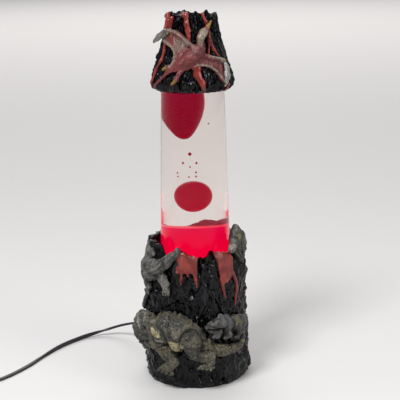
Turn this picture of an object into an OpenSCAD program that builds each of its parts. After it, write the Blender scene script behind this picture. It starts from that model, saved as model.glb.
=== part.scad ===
// Lava lamp with a rock-like base and cap, and prehistoric animals in relief.
// Millimetres, +Z up. The origin is the centre of the foot on the table.
// Angles run round the Z axis from +X; the front of the lamp is at 270 degrees.

/* [Base] */
// Diameter of the rock base at the table
base_d = 117; // [114:1:120]
// Diameter of the rock base under its rim
rim_d = 104; // [102:1:106]
// Diameter of the well that the globe stands in
well_d = 93; // [91:1:94]
// Height of the ledge that carries the globe cup
ledge_z = 94; // [92:1:95]
// Depth of the crags on the rock
crag = 1.6; // [0.8:0.1:2]

/* [Globe] */
// Diameter of the globe at its foot
globe_foot_d = 80; // [78:0.5:81]
// Diameter of the globe where the shoulder starts
globe_top_d = 67.6; // [66:0.2:68.4]
// Height of the shoulder
shoulder_z = 338; // [336:1:339]
// Glass thickness
glass = 2.5; // [2:0.1:3]
// Height of the wax pool's surface
pool_z = 177; // [170:1:180]

/* [Cap] */
// Height of the cap's lower edge
cap_z = 323; // [321:1:325]
// Diameter of the hollow under the cap
cap_hollow_d = 73; // [72:0.5:74]

/* [Lamp holder] */
// Radius of the bulb's envelope
bulb_r = 17.5; // [15:0.5:18]
// Radius of the bulb's screw shell, size E17
screw_r = 8.4; // [8.3:0.05:8.45]

/* [Cord] */
// Width of the twin lead
cord_w = 5.4; // [5:0.1:6]
// Thickness of the twin lead
cord_t = 2.7; // [2.5:0.1:3]
// Height of the cord's exit from the base
exit_z = 30; // [28:1:32]
// Mean radius of the wound coil of lead
coil_r = 30; // [28:1:31]

/* [Hidden] */
$fn = 96;

segs = 72;            // facets round the rock
rows = 14;            // facets up the base
step = 360 / segs;
sphere_fn = 10;       // facets of the rounded animal shapes
gap = 0.1;            // between flat faces that rest on each other
rock_foot_z = 0.8;
chamber_r = 50;       // inside of the lamp chamber
recess_r = 55.2;      // recess for the bottom plate
plate_z = 3.2;
plate_t = 2;
cup_t = 1.2;
cup_hole_r = 24;

// Height of the base's jagged rim against the angle
rim = [
    [0, 152], [20, 150], [45, 158], [60, 161], [80, 156], [100, 158], [125, 160], [150, 155],
    [165, 158], [185, 156], [205, 160], [222, 158], [231, 149], [240, 152], [249, 157],
    [262, 151], [270, 148], [280, 148], [288, 155], [298, 149], [315, 147], [330, 150],
    [345, 155], [360, 152]
];
// Radius of the cap's rock against its height
cap_profile = [
    [323, 39], [326, 43], [332, 45], [349, 39.6], [366, 33.8], [387, 28.4], [400, 26], [406, 25]
];
// Height of the crater's jagged rim against the angle
crater_rim = [
    [0, 403], [25, 399], [50, 404], [80, 400], [110, 405], [140, 400], [170, 404], [195, 402],
    [215, 405], [235, 401], [250, 404], [268, 401], [280, 405], [295, 402], [310, 406],
    [335, 400], [360, 403]
];

// ---------------------------------------------------------------- rock

function polar(r, a, z) = [r * cos(a), r * sin(a), z];
function relief(a, z) =
    crag * (0.55 * sin(5 * a + 2 * z) + 0.35 * sin(11 * a - 3 * z) + 0.3 * sin(17 * a + 5 * z));
function base_mean_r(z) = base_d / 2 - (base_d - rim_d) / 2 * z / 150;
function base_r(a, z) = base_mean_r(z) + relief(a, z);
function cap_r(a, z) = lookup(z, cap_profile) + relief(a, z);

// Two triangles per cell between ring j and ring k of n points
function band(j, k, n) = [
    for (i = [0:n - 1])
        let (a = j * n + i, b = j * n + (i + 1) % n, c = k * n + (i + 1) % n, d = k * n + i)
            each [[a, c, b], [a, d, c]]
];
// A closed surface through the rings, from the last ring back to the first
module ring_loop(rings) {
    m = len(rings);
    n = len(rings[0]);
    polyhedron([for (r = rings) each r], [for (j = [0:m - 1]) each band(j, (j + 1) % m, n)]);
}
// A closed surface through the rings, with a flat fan at each end
module ring_stack(rings) {
    m = len(rings);
    n = len(rings[0]);
    low = m * n;
    high = low + 1;
    middle = function(ring) [for (k = [0:2]) [for (p = ring) p[k]] * [for (p = ring) 1] / n];
    ends = [for (i = [0:n - 1]) each [
        [low, i, (i + 1) % n],
        [high, (m - 1) * n + (i + 1) % n, (m - 1) * n + i]
    ]];
    polyhedron(
        concat([for (r = rings) each r], [middle(rings[0]), middle(rings[m - 1])]),
        concat([for (j = [0:m - 2]) each band(j, j + 1, n)], ends)
    );
}
function circle_at(r, z) = [for (i = [0:segs - 1]) polar(r, i * step, z)];
function base_skin() = [
    for (j = [0:rows]) [
        for (i = [0:segs - 1])
            let (a = i * step, z = rock_foot_z + (lookup(a, rim) - rock_foot_z) * j / rows)
                polar(base_r(a, z), a, z)
    ]
];
cap_rows = 9;
function cap_skin() = [
    for (j = [0:cap_rows]) [
        for (i = [0:segs - 1])
            let (a = i * step, z = cap_z + (lookup(a, crater_rim) - cap_z) * j / cap_rows)
                polar(cap_r(a, z), a, z)
    ]
];
module base_block() ring_stack(base_skin());
function crater() = [
    [for (i = [0:segs - 1]) polar(21, i * step, lookup(i * step, crater_rim) - 3)],
    circle_at(15, 393)
];
module cap_block() ring_stack(concat(cap_skin(), crater()));

exit_a = 131;         // angle of the cord's exit, at the back left
relief_r = 4.4;       // strain relief where it passes the wall

module base_rock() color("#26252a") difference() {
    ring_loop(concat(
        base_skin(),
        [[for (i = [0:segs - 1]) polar(well_d / 2 + 1.5, i * step, lookup(i * step, rim) - 2)]],
        [
            circle_at(well_d / 2, 140), circle_at(well_d / 2, ledge_z), circle_at(42, ledge_z),
            circle_at(42, ledge_z - 4), circle_at(chamber_r, ledge_z - 12),
            circle_at(chamber_r, plate_z + plate_t), circle_at(recess_r, plate_z + plate_t),
            circle_at(recess_r, rock_foot_z)
        ]
    ));
    rotate(exit_a) translate([40, 0, exit_z]) rotate([0, 90, 0])
        cylinder(r = relief_r + 0.1, h = 30);
}

module cap_rock() color("#2a282b") ring_stack(concat(
    [
        circle_at(19, crown_top_z + gap), circle_at(20, 363), circle_at(35, 349),
        circle_at(cap_hollow_d / 2, cap_z)
    ],
    cap_skin(),
    crater()
));

// ---------------------------------------------------------------- shapes on the rock

// A rounded limb through points [angle, height, stand-off, radius] on the base or the cap
module limb(points, on_cap = false) {
    place = function(p)
        polar((on_cap ? lookup(p[1], cap_profile) : base_mean_r(p[1])) + p[2], p[0], p[1]);
    for (i = [0:len(points) - 2]) hull() for (p = [points[i], points[i + 1]])
        translate(place(p)) sphere(r = p[3], $fn = sphere_fn);
}

module horned_shape() {
    limb([[234, 64, 1, 14], [246, 65, 2, 17], [262, 62, 2, 15], [272, 57, 2, 10]]);
    limb([[272, 57, 2, 10], [285, 58, 1, 6.5], [303, 56, 1, 4.5], [322, 55, 0, 3]]);
    limb([[234, 64, 1, 14], [213, 64, 4, 11], [207, 52, 8, 7], [204, 46, 10, 4]]);
    limb([[203, 76, 5, 4], [216, 81, 3, 4], [224, 72, 4, 4]]);
    limb([[208, 62, 11, 3.5], [222, 58, 14, 1.8]]);
    limb([[238, 56, 3, 8], [236, 42, 3, 5.5], [238, 31, 3, 5]]);
    limb([[214, 52, 2, 6], [210, 40, 2, 5]]);
    limb([[267, 54, 5, 11], [279, 44, 3, 6], [284, 33, 3, 5.5]]);
}
module young_shape() {
    limb([[302, 71, 1, 8], [318, 73, 1, 10], [334, 74, 0, 8], [346, 78, 0, 4]]);
    limb([[302, 71, 1, 8], [293, 72, 3, 6], [284, 72, 3, 3.5]]);
    limb([[300, 80, 1, 4], [311, 82, 0, 4]]);
    limb([[300, 66, 1, 5], [298, 59, 1, 4]]);
    limb([[316, 66, 1, 5], [314, 57, 1, 4]]);
    limb([[330, 68, 1, 5], [328, 59, 1, 4]]);
}
module left_shape() {
    limb([[196, 112, 0, 5], [206, 122, 0, 9], [212, 136, 0, 9], [226, 146, 1, 7]]);
    limb([[226, 146, 1, 7], [238, 153, 1, 5], [248, 158, 1, 4]]);
    limb([[208, 138, 0, 6], [200, 150, 1, 4], [203, 158, 0, 3.5]]);
    limb([[206, 122, 0, 7], [200, 110, 1, 4]]);
    limb([[212, 122, 0, 7], [224, 112, 1, 4]]);
    limb([[196, 112, 0, 5], [203, 99, 1, 3.5], [196, 82, 2, 2.5]]);
}
module hunter_shape() {
    limb([[322, 149, 1, 5], [332, 158, 1, 8], [342, 160, -1, 8]]);
    limb([[342, 160, -1, 8], [344, 144, 0, 9], [340, 132, 0, 9]]);
    limb([[340, 132, 0, 8], [348, 116, 0, 7], [346, 103, 0, 5]]);
    limb([[330, 136, 1, 5], [322, 130, 1, 3.5]]);
    limb([[338, 152, 2, 5], [326, 142, 2, 2.5]]);
}
module base_lava_shape() {
    limb([[248, 150, 0, 4], [248, 135, 0, 4.5], [250, 122, 0, 2]]);
    limb([[256, 150, 0, 5], [256, 135, 0, 4.5]]);
    limb([[264, 147, 0, 5], [266, 130, 0, 4], [269, 118, 0, 2]]);
    limb([[302, 148, 0, 5], [304, 128, 0, 4], [307, 106, 0, 2]]);
    limb([[312, 144, 0, 5], [313, 124, 0, 4], [317, 96, 0, 2]]);
}
module cap_lava_shape() {
    limb([[236, 400, 0, 4], [236, 388, 0, 3.5], [226, 370, 0, 2], [206, 334, 0, 2]], true);
    limb([[255, 401, 0, 4], [262, 380, 0, 2]], true);
    limb([[298, 400, 0, 3.5], [304, 384, 0, 2.5], [318, 362, 0, 2]], true);
    limb([[276, 346, 0, 4], [282, 334, 0, 2.5], [284, 326, -1, 1.8]], true);
}
module flyer_shape() {
    limb([[250, 350, 0, 4], [264, 362, 1, 7], [280, 372, 1, 6]], true);
    limb([[280, 372, 1, 6], [292, 382, 3, 5], [306, 392, 4, 2.5]], true);
    limb([[258, 368, 0, 5], [228, 386, 2, 4], [200, 375, 8, 2]], true);
    limb([[280, 364, 0, 5], [316, 356, 3, 4], [320, 332, 2, 2]], true);
    limb([[256, 354, 0, 4], [228, 348, 1, 2.5]], true);
    limb([[262, 352, 0, 4], [246, 332, 1, 2.5]], true);
}

module horned_animal() color("#7d7766") difference() {
    horned_shape();
    base_block();
}
module young_animal() color("#56524c") difference() {
    young_shape();
    base_block();
    horned_shape();
}
module left_climber() color("#6b645c") difference() {
    left_shape();
    base_block();
}
module right_hunter() color("#585646") difference() {
    hunter_shape();
    base_block();
    cylinder(r = globe_foot_d / 2 + 2, h = 250);
}
module base_lava() color("#7d3a34") difference() {
    base_lava_shape();
    base_block();
    left_shape();
    hunter_shape();
}
module cap_lava() color("#8a443f") difference() {
    cap_lava_shape();
    cap_block();
    flyer_shape();
}
module flying_animal() color("#93665f") difference() {
    flyer_shape();
    cap_block();
}

// ---------------------------------------------------------------- globe

globe_z = ledge_z + cup_t + gap;
foot_round = 6;
shoulder_round = 14;
neck_r = 13;
neck_z = 356;
lip_z = 364;
crown_top_z = 366;
fill_z = 350;

// Outline of the bottle, drawn in by d from its outer surface, up to the lip
function bottle(d) = concat(
    [[0, globe_z + d]],
    [for (t = [-90:15:0]) [
        globe_foot_d / 2 - foot_round + (foot_round - d) * cos(t),
        globe_z + foot_round + (foot_round - d) * sin(t)
    ]],
    [for (t = [0:15:75]) [
        globe_top_d / 2 - shoulder_round + (shoulder_round - d) * cos(t),
        shoulder_z + (shoulder_round - d) * sin(t)
    ]],
    [[neck_r - d, neck_z - d / 2], [neck_r - d, lip_z]]
);
module bottle_solid(d) rotate_extrude() polygon(concat(bottle(d), [[0, lip_z]]));

function reversed(list) = [for (k = [len(list) - 1:-1:0]) list[k]];
module globe_glass() color("#dfe6e4", 0.35)
    rotate_extrude() polygon(concat(bottle(0), reversed(bottle(glass))));
module crown_cap() color("#b9b2a4") difference() {
    translate([0, 0, lip_z - 6]) cylinder(r = neck_r + 1.6, h = crown_top_z - lip_z + 6);
    translate([0, 0, lip_z - 7]) cylinder(r = neck_r + 0.05, h = 8);
}
module cap_liner() color("#d9d5cb")
    translate([0, 0, lip_z]) cylinder(r = neck_r - 0.2, h = 0.95);

pool_inset = glass + 0.05;
wide = 60;            // radius past everything inside the globe
blob_rx = 15.4;
blob_rz = 17.5;
blob_y = 4;
blob_z = 204;
blob_rise = 45;
hang_x = -9;
hang_r = 15;
hang_z = 285;
ring_r = 27;          // radius of the heating coil's ring
ring_z = 103;
coil_r_small = 3;     // radius of the heating coil's turns

// Droplets as [x, y, z, radius]
droplets = [
    [-2, -19, 256, 2.3], [4, -19, 246, 1.6], [-8.5, -18, 246, 1.6], [-2, -20, 242, 1.2],
    [3.5, -20, 236, 1.3], [3.5, -20, 231.5, 1.3], [-14, -16, 235, 1.1], [-13.5, -16, 231, 1.1],
    [-3.3, -20, 231, 1.1], [16, -16, 288, 1.2]
];
module droplet_spheres() for (d = droplets)
    translate([d[0], d[1], d[2]]) sphere(r = d[3], $fn = 24);
module hanging_shape() {
    translate([hang_x, 0, hang_z]) cylinder(r = hang_r, h = 50);
    translate([hang_x, 0, hang_z]) sphere(r = hang_r);
}
module clear_liquid() color("#e9dcd2", 0.2) difference() {
    bottle_solid(pool_inset);
    translate([0, 0, globe_z]) cylinder(r = wide, h = pool_z - globe_z);
    translate([0, 0, fill_z]) cylinder(r = wide, h = 30);
    hanging_shape();
    droplet_spheres();
    translate([0, blob_y, pool_z - 1])
        cylinder(r = blob_rx + 0.8, h = blob_z + blob_rz + blob_rise + 1.8 - pool_z);
}
module wax_pool() color("#d4083c") difference() {
    bottle_solid(pool_inset);
    translate([0, 0, pool_z]) cylinder(r = wide, h = 250);
    rotate_extrude() translate([ring_r, ring_z]) circle(r = coil_r_small + 0.8);
}
module hanging_wax() color("#8c0420") hanging_shape();
module wax_droplets() color("#8c0420") droplet_spheres();
module wax_blob() color("#9b0024") translate([0, blob_y, blob_z]) rotate_extrude()
    polygon([for (t = [-90:7.5:90]) [blob_rx * cos(t), blob_rz * sin(t)]]);

// A tube of the given section through the path's points
function unit(v) = v / norm(v);
function tangent(path, i) =
    unit(path[min(i + 1, len(path) - 1)] - path[max(i - 1, 0)]);
function tube_ring(path, i, rx, ry, turn, sides) =
    let (
        t = tangent(path, i),
        across = unit(cross([0, 0, 1], t)),
        up = cross(t, across),
        c = cos(turn),
        s = sin(turn)
    )
    [for (k = [0:sides - 1])
        let (
            u = rx * cos(k * 360 / sides),
            v = ry * sin(k * 360 / sides)
        )
        path[i] + (u * c - v * s) * across + (u * s + v * c) * up];
module tube(path, rx, ry, turns, sides) ring_stack([
    for (i = [0:len(path) - 1])
        tube_ring(path, i, rx, ry, lookup(i / (len(path) - 1), turns), sides)
]);
flat = [[0, 0], [1, 0]];

// A spring bent into a ring: wire sections along a helix round the ring's circle
heater_turns = 20;
heater_steps = 8 * heater_turns;  // a wire section every 45 degrees of a turn
wire_r = 0.6;
function heater_ring(k) =
    let (
        a = k * 350 / heater_steps,
        t = k * 45,
        out = [cos(t) * cos(a), cos(t) * sin(a), sin(t)],
        along = [-sin(a), cos(a), 0],
        middle = polar(ring_r, a, ring_z) + coil_r_small * out
    )
    [for (q = [0:90:270]) middle + wire_r * (cos(q) * out + sin(q) * along)];
module heating_coil() color("silver") ring_stack([for (k = [0:heater_steps]) heater_ring(k)]);

// ---------------------------------------------------------------- lamp holder

cup_wall_z = 107;
module globe_cup() color("silver") rotate_extrude() polygon([
    [cup_hole_r, ledge_z], [46, ledge_z], [46, ledge_z + cup_t], [42, ledge_z + cup_t],
    [42, cup_wall_z], [41, cup_wall_z], [41, ledge_z + cup_t], [cup_hole_r, ledge_z + cup_t]
]);

plate_top = plate_z + plate_t;
foot_x = 27;          // bracket screws, from the axis
leg_x = 22.4;         // bracket legs, from the axis
foot_l = 10.4;
strap_w = 18;
bridge_z = 14;
bridge_r = 16;        // round middle of the bridge
sheet = 1.2;
m3_r = 1.45;          // screw shank
socket_r = 12.5;
socket_foot_z = 8;
socket_top_z = 40;
bore_r = 9.3;         // inside of the socket body
thread_z = 24;
module strap(x, l, z, h) translate([x - l / 2, -strap_w / 2, z]) cube([l, strap_w, h]);
module socket_bracket() color("#b8b8b4") difference() {
    union() {
        strap(0, 2 * leg_x + sheet, bridge_z, sheet);
        translate([0, 0, bridge_z]) cylinder(r = bridge_r, h = sheet);
        for (s = [-1, 1]) {
            strap(s * leg_x, sheet, plate_top, bridge_z + sheet - plate_top);
            strap(s * foot_x, foot_l, plate_top, sheet);
        }
    }
    translate([0, 0, bridge_z - 1]) cylinder(r = socket_r + gap, h = 4);
    for (s = [-1, 1]) translate([s * foot_x, 0, plate_top - 1]) cylinder(r = m3_r + 0.15, h = 4);
}
module bracket_screws() color("silver") for (s = [-1, 1]) translate([s * foot_x, 0, 0]) {
    translate([0, 0, plate_z]) cylinder(r = m3_r, h = plate_t + sheet);
    translate([0, 0, plate_top + sheet]) cylinder(r = 2.8, h = 1.8);
}
module socket_body() color("#efe9dc") difference() {
    union() {
        translate([0, 0, socket_foot_z]) cylinder(r = socket_r, h = socket_top_z - socket_foot_z);
        translate([0, 0, bridge_z + sheet]) cylinder(r = socket_r + 2, h = 2.5);
    }
    translate([0, 0, thread_z - 2]) cylinder(r = bore_r, h = 40);
}
module socket_shell() color("#c9a24a") difference() {
    translate([0, 0, thread_z]) cylinder(r = bore_r - 0.05, h = 15);
    translate([0, 0, thread_z - 1]) cylinder(r = screw_r + 0.3, h = 17);
}
module socket_contact() color("#c9a24a") {
    translate([0, 0, thread_z - 2]) cylinder(r = 5, h = 0.8);
    translate([0, 0, thread_z - 1.2]) cylinder(r = 2, h = 1.1);
}
bulb_foot_z = 27;
bulb_neck_r = 7.4;
bulb_mid_z = 70.5;    // centre of the bulb's round end
shell_r = screw_r - 0.4;
thread_pitch = 2.4;
module bulb_contact() color("#b0b0ac") translate([0, 0, thread_z]) cylinder(r = 2.6, h = 1);
module bulb_base() color("#b8933f") difference() {
    union() {
        translate([0, 0, thread_z + 1]) cylinder(r1 = 4, r2 = shell_r, h = 2);
        translate([0, 0, bulb_foot_z]) cylinder(r = shell_r, h = 15);
        for (k = [0:4]) translate([0, 0, bulb_foot_z + 1.5 + thread_pitch * k])
            rotate_extrude() translate([shell_r, 0]) circle(r = 0.4, $fn = 16);
    }
    translate([0, 0, bulb_foot_z + 2]) cylinder(r = shell_r - 0.5, h = 20);
}
// Outline of the bulb's envelope, drawn in by d
function envelope(d) = concat(
    [[bulb_neck_r - d, bulb_foot_z + 3], [bulb_neck_r - d, 46]],
    [for (t = [-30:15:90]) [(bulb_r - d) * cos(t), bulb_mid_z + (bulb_r - d) * sin(t)]]
);
module bulb_glass() color("#f4f1ea", 0.6)
    rotate_extrude() polygon(concat(envelope(0), reversed(envelope(0.8))));
module bulb_stem() color("#cfd6d4") {
    translate([0, 0, bulb_foot_z + 2.05]) cylinder(r = 3, h = 24);
    for (s = [-1, 1]) translate([s * 2, 0, bulb_foot_z + 26]) rotate([0, s * 14, 0])
        cylinder(r = 0.35, h = 17);
}
module filament() color("#8f8f8f") translate([0, 0, bulb_foot_z + 43.2])
    rotate([0, 90, 0]) cylinder(r = 0.9, h = 12, center = true);

// ---------------------------------------------------------------- underside

screw_ring_r = 52.6;
module vent() translate([17, -1.5, plate_z - 1]) cube([14, 3, plate_t + 2]);
module bottom_plate() color("#1f1f22") difference() {
    translate([0, 0, plate_z]) cylinder(r = recess_r - 0.3, h = plate_t);
    for (a = [30:60:330]) rotate(a) vent();
    for (s = [-1, 1]) translate([s * foot_x, 0, plate_z - 1]) cylinder(r = m3_r, h = plate_t + 2);
    for (a = [90:120:330]) rotate(a) translate([screw_ring_r, 0, plate_z - 1])
        cylinder(r = 1.5, h = plate_t + 2);
}
module bottom_screws() color("silver") for (a = [90:120:330])
    rotate(a) translate([screw_ring_r, 0, 0]) {
        translate([0, 0, plate_z]) cylinder(r = 1.3, h = 9);
        translate([0, 0, plate_z - 1.6]) cylinder(r = 2.4, h = 1.6);
    }
module foot_pads() color("#2b2b2b") {
    cylinder(r = 9, h = plate_z);
    for (a = [45:90:315]) rotate(a) translate([40, 0, 0]) cylinder(r = 7, h = plate_z);
}

// ---------------------------------------------------------------- cord

relief_in = 46;       // inner and outer ends of the strain relief, from the axis
relief_out = 82;
module strain_relief() color("#171719") rotate(exit_a) translate([relief_in, 0, exit_z])
    rotate([0, 90, 0]) rotate_extrude() polygon([
        [0, 0], [6.4, 0], [6.4, 2.5], [relief_r, 3.5], [relief_r, 12], [5.6, 12.8],
        [5.2, 18], [3.4, relief_out - relief_in], [0, relief_out - relief_in]
    ]);

// The lead from the strain relief to the switch, as [x, y, z]
lead_route = [
    [-53.8, 61.9, 30], [-62, 71, 28.5], [-72, 81, 24.5], [-83, 91, 19.5], [-96, 99, 14],
    [-111, 102, 8.5], [-128, 99, 4.5], [-146, 87, 2.8], [-162, 69, 2.7], [-175, 50, 2.4],
    [-186, 31, 1.8], [-195, 12, 1.4], [-207, -8, 1.4], [-221, -26, 1.4], [-236, -40, 2.5],
    [-250, -49, 6.5], [-258, -51.5, 8.7], [-266, -52, 9]
];
// How far the flat lead is turned on edge along that route, in degrees
lead_turns = [[0, 0], [0.3, 5], [0.38, 80], [0.5, 88], [0.57, 40], [0.65, 0], [1, 0]];
// The short link from the switch to the coil
link_route = [
    [-322, -52, 9], [-331, -51, 7], [-341, -46, 4], [-349, -37, 1.8], [-352, -25, 1.4],
    [-349, -13, 1.4], [-343, -3, 1.4], [-339, 6, 1.4]
];
// The tail from the coil to the plug
tail_route = [
    [-332, 42, 7.5], [-334, 50, 7.3], [-338, 58, 7], [-340, 66, 7]
];
// Catmull-Rom points between route points i and i + 1
function spline_point(p, i, t) =
    let (
        a = p[max(i - 1, 0)],
        b = p[i],
        c = p[i + 1],
        d = p[min(i + 2, len(p) - 1)]
    )
    0.5 * (2 * b + (c - a) * t + (2 * a - 5 * b + 4 * c - d) * t ^ 2
        + (3 * b - a - 3 * c + d) * t ^ 3);
function smooth(p, n) = concat(
    [for (i = [0:len(p) - 2], k = [0:n - 1]) spline_point(p, i, k / n)], [p[len(p) - 1]]
);
module cord_lead() color("#121213")
    tube(smooth(lead_route, 2), cord_w / 2, cord_t / 2, lead_turns, 8);
module cord_link() color("#121213")
    tube(smooth(link_route, 2), cord_w / 2, cord_t / 2, flat, 8);
module cord_tail() color("#121213")
    tube(smooth(tail_route, 2), cord_w / 2, cord_t / 2, flat, 8);

coil_x = -302;
coil_y = 18;
coil_w = 3 * cord_w;  // three columns of turns
coil_h = 9;           // three layers of turns
module cord_coil() color("#121213") translate([coil_x, coil_y, 0]) rotate_extrude()
    translate([coil_r - coil_w / 2, 0]) square([coil_w, coil_h]);

module inner_leads() color("#3a3a3a") for (s = [-1, 1]) rotate(exit_a) tube(
    smooth([[relief_in, s * 1.6, exit_z], [40, s * 1.8, 29], [32, s * 2.4, 22], [22, s * 3, 14],
        [socket_r, s * 3, 11]], 2),
    1.1, 1.1, flat, 8
);

// ---------------------------------------------------------------- switch and plug

switch_x = -294;
switch_y = -52;
switch_l = 56;
switch_w = 22;
switch_h = 18;
switch_mid_z = 9;
wheel_z = 11.5;
wheel_r = 8;
wheel_w = 4.4;
pin_r = 1;
corner = 4;           // cut off the switch's corners
case_screw_x = 18;
module switch_outline() polygon([
    for (sx = [-1, 1], k = [0, 1]) let (sy = sx * (k == 0 ? -1 : 1))
        each (k == 0
            ? [[sx * (switch_l / 2 - corner), sy * switch_w / 2],
               [sx * switch_l / 2, sy * (switch_w / 2 - corner)]]
            : [[sx * switch_l / 2, sy * (switch_w / 2 - corner)],
               [sx * (switch_l / 2 - corner), sy * switch_w / 2]])
]);
module at_switch() translate([switch_x, switch_y, 0]) children();
module wheel_slot() translate([-wheel_r - 1, -wheel_w / 2 - 0.6, 2.5])
    cube([2 * wheel_r + 2, wheel_w + 1.2, 30]);
module pin_hole(r) translate([0, 7, wheel_z]) rotate([90, 0, 0]) cylinder(r = r, h = 14);
module switch_lower() color("#141416") at_switch() difference() {
    linear_extrude(switch_mid_z) switch_outline();
    wheel_slot();
    for (s = [-1, 1]) translate([s * case_screw_x, 0, -1]) {
        cylinder(r = 1.5, h = 20);
        cylinder(r = 2.8, h = 3);
    }
}
module switch_upper() color("#141416") at_switch() difference() {
    translate([0, 0, switch_mid_z]) linear_extrude(switch_h - switch_mid_z) switch_outline();
    wheel_slot();
    pin_hole(pin_r);
    for (s = [-1, 1]) translate([s * case_screw_x, 0, switch_mid_z - 1]) cylinder(r = 1.3, h = 6);
}
module switch_screws() color("silver") at_switch() for (s = [-1, 1])
    translate([s * case_screw_x, 0, 0]) {
    translate([0, 0, 0.4]) cylinder(r = 2.6, h = 1.6);
    translate([0, 0, 2]) cylinder(r = 1.3, h = 12);
}
module wheel_pin() color("silver") at_switch() pin_hole(pin_r);
module thumbwheel() color("#e8e4da") at_switch() difference() {
    translate([0, wheel_w / 2, wheel_z]) rotate([90, 0, 0]) cylinder(r = wheel_r, h = wheel_w);
    pin_hole(pin_r + 0.06);
    for (a = [0:22.5:337.5]) translate([0, wheel_w, wheel_z]) rotate([90, a, 0])
        translate([wheel_r + 0.3, 0, 0]) cylinder(r = 0.9, h = 2 * wheel_w, $fn = 16);
}

plug_x = -340;
plug_y = 66;
plug_l = 28;
plug_half_w = 11.5;
plug_mid_z = 7;
blade_gap = 12.7;
blade_l = 17.5;
blade_t = 1.5;
module plug_body() color("#141416") translate([plug_x, plug_y, 0]) linear_extrude(2 * plug_mid_z)
    polygon([
        [-5, 0], [5, 0], [9, 6], [plug_half_w, 16], [plug_half_w, plug_l],
        [-plug_half_w, plug_l], [-plug_half_w, 16], [-9, 6]
    ]);
module plug_blades() color("#c8b98a") for (s = [-1, 1]) {
    blade_h = s < 0 ? 7.9 : 6.3;
    translate([plug_x + (s * blade_gap - blade_t) / 2, plug_y + plug_l, plug_mid_z - blade_h / 2])
        cube([blade_t, blade_l, blade_h]);
}

base_rock();
base_lava();
horned_animal();
young_animal();
left_climber();
right_hunter();
globe_cup();
socket_bracket();
bracket_screws();
socket_body();
socket_shell();
socket_contact();
bottom_plate();
bottom_screws();
foot_pads();
strain_relief();
inner_leads();
cord_lead();
cord_link();
cord_coil();
cord_tail();
switch_lower();
switch_upper();
switch_screws();
wheel_pin();
thumbwheel();
plug_body();
plug_blades();
bulb_base();
bulb_contact();
bulb_glass();
bulb_stem();
filament();
globe_glass();
crown_cap();
cap_liner();
clear_liquid();
wax_pool();
hanging_wax();
wax_droplets();
wax_blob();
heating_coil();
cap_rock();
cap_lava();
flying_animal();
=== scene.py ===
"""Lava lamp: rock base and cap with prehistoric animals, and a glass globe with red wax."""

import itertools
import math

import bpy
import numpy as np
from mathutils import Matrix, Vector


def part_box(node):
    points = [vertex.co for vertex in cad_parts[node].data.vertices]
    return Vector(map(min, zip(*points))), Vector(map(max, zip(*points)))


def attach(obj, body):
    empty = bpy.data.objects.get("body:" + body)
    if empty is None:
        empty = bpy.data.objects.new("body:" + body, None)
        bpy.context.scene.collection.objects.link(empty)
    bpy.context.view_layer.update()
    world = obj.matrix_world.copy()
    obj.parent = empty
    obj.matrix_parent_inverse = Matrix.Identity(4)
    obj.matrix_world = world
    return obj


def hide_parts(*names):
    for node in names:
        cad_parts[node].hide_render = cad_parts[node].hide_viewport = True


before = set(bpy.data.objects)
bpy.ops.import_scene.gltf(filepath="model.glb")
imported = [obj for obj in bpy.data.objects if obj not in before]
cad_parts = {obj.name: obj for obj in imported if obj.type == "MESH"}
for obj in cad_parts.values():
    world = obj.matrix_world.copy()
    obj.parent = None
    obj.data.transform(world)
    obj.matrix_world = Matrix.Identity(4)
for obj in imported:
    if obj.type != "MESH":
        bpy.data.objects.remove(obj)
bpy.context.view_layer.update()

MM = 0.001
TURN = 2 * math.pi


def low_mm(node):
    """A CAD node's lowest corner in millimetres."""
    return np.array(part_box(node)[0]) / MM


def high_mm(node):
    """A CAD node's highest corner in millimetres."""
    return np.array(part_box(node)[1]) / MM


# ---------------------------------------------------------------- camera, floor and light

CAMERA_AT = (0.0060, -1.050, 0.467)
CAMERA_DOWN, CAMERA_ROLL = 14.3, -0.95  # degrees
LENS, SENSOR, FARTHEST = 88.2, 36.0, 60.0  # millimetres, millimetres and metres
MIDDLE = (0.0, 0.0, 0.2)
# Soft square lights: name, place, aim, size, watts and tint
LIGHTS = [
    ("key", (-0.5, -0.75, 1.45), MIDDLE, 0.45, 20, (0.97, 0.98, 1.0)),
    ("fill", (1.1, -0.7, 0.9), MIDDLE, 0.6, 6, (1.0, 0.97, 0.93)),
    ("back", (0.0, 5.5, 4.5), (0.0, 5.0, 0.0), 6.0, 300, (1.0, 0.98, 0.97)),
]


def linked(name, data):
    """A new object that carries some data, in the scene."""
    made = bpy.data.objects.new(name, data)
    bpy.context.collection.objects.link(made)
    return made


def make_camera():
    """A long lens about a metre in front of the lamp, looking slightly down."""
    data = bpy.data.cameras.new("camera")
    data.lens, data.sensor_width, data.clip_end = LENS, SENSOR, FARTHEST
    camera = linked("camera", data)
    camera.matrix_world = (
        Matrix.Translation(CAMERA_AT)
        @ Matrix.Rotation(math.radians(90 - CAMERA_DOWN), 4, "X")
        @ Matrix.Rotation(math.radians(CAMERA_ROLL), 4, "Z")
    )
    bpy.context.scene.camera = camera


def make_studio():
    """A plain pale floor, a pale sky and three soft lights."""
    bpy.ops.mesh.primitive_plane_add(size=FARTHEST)
    floor = bpy.context.object
    floor.name = "floor"
    paint = Paint("floor_paint", (0.66, 0.645, 0.63), 0.7, Specular_IOR_Level=0.2)
    floor.data.materials.append(paint.material)
    world = bpy.data.worlds.new("sky")
    world.use_nodes = True
    sky = world.node_tree.nodes["Background"].inputs
    sky["Color"].default_value = (0.86, 0.88, 0.92, 1)
    sky["Strength"].default_value = 0.42
    bpy.context.scene.world = world
    for name, at, aim, size, power, tint in LIGHTS:
        data = bpy.data.lights.new(name, "AREA")
        data.size, data.energy, data.color = size, power, tint
        light = linked(name, data)
        light.location = at
        light.rotation_euler = (Vector(aim) - Vector(at)).to_track_quat("-Z", "Y").to_euler()
    bpy.context.scene.view_settings.view_transform = "Standard"


# ---------------------------------------------------------------- materials

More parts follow.
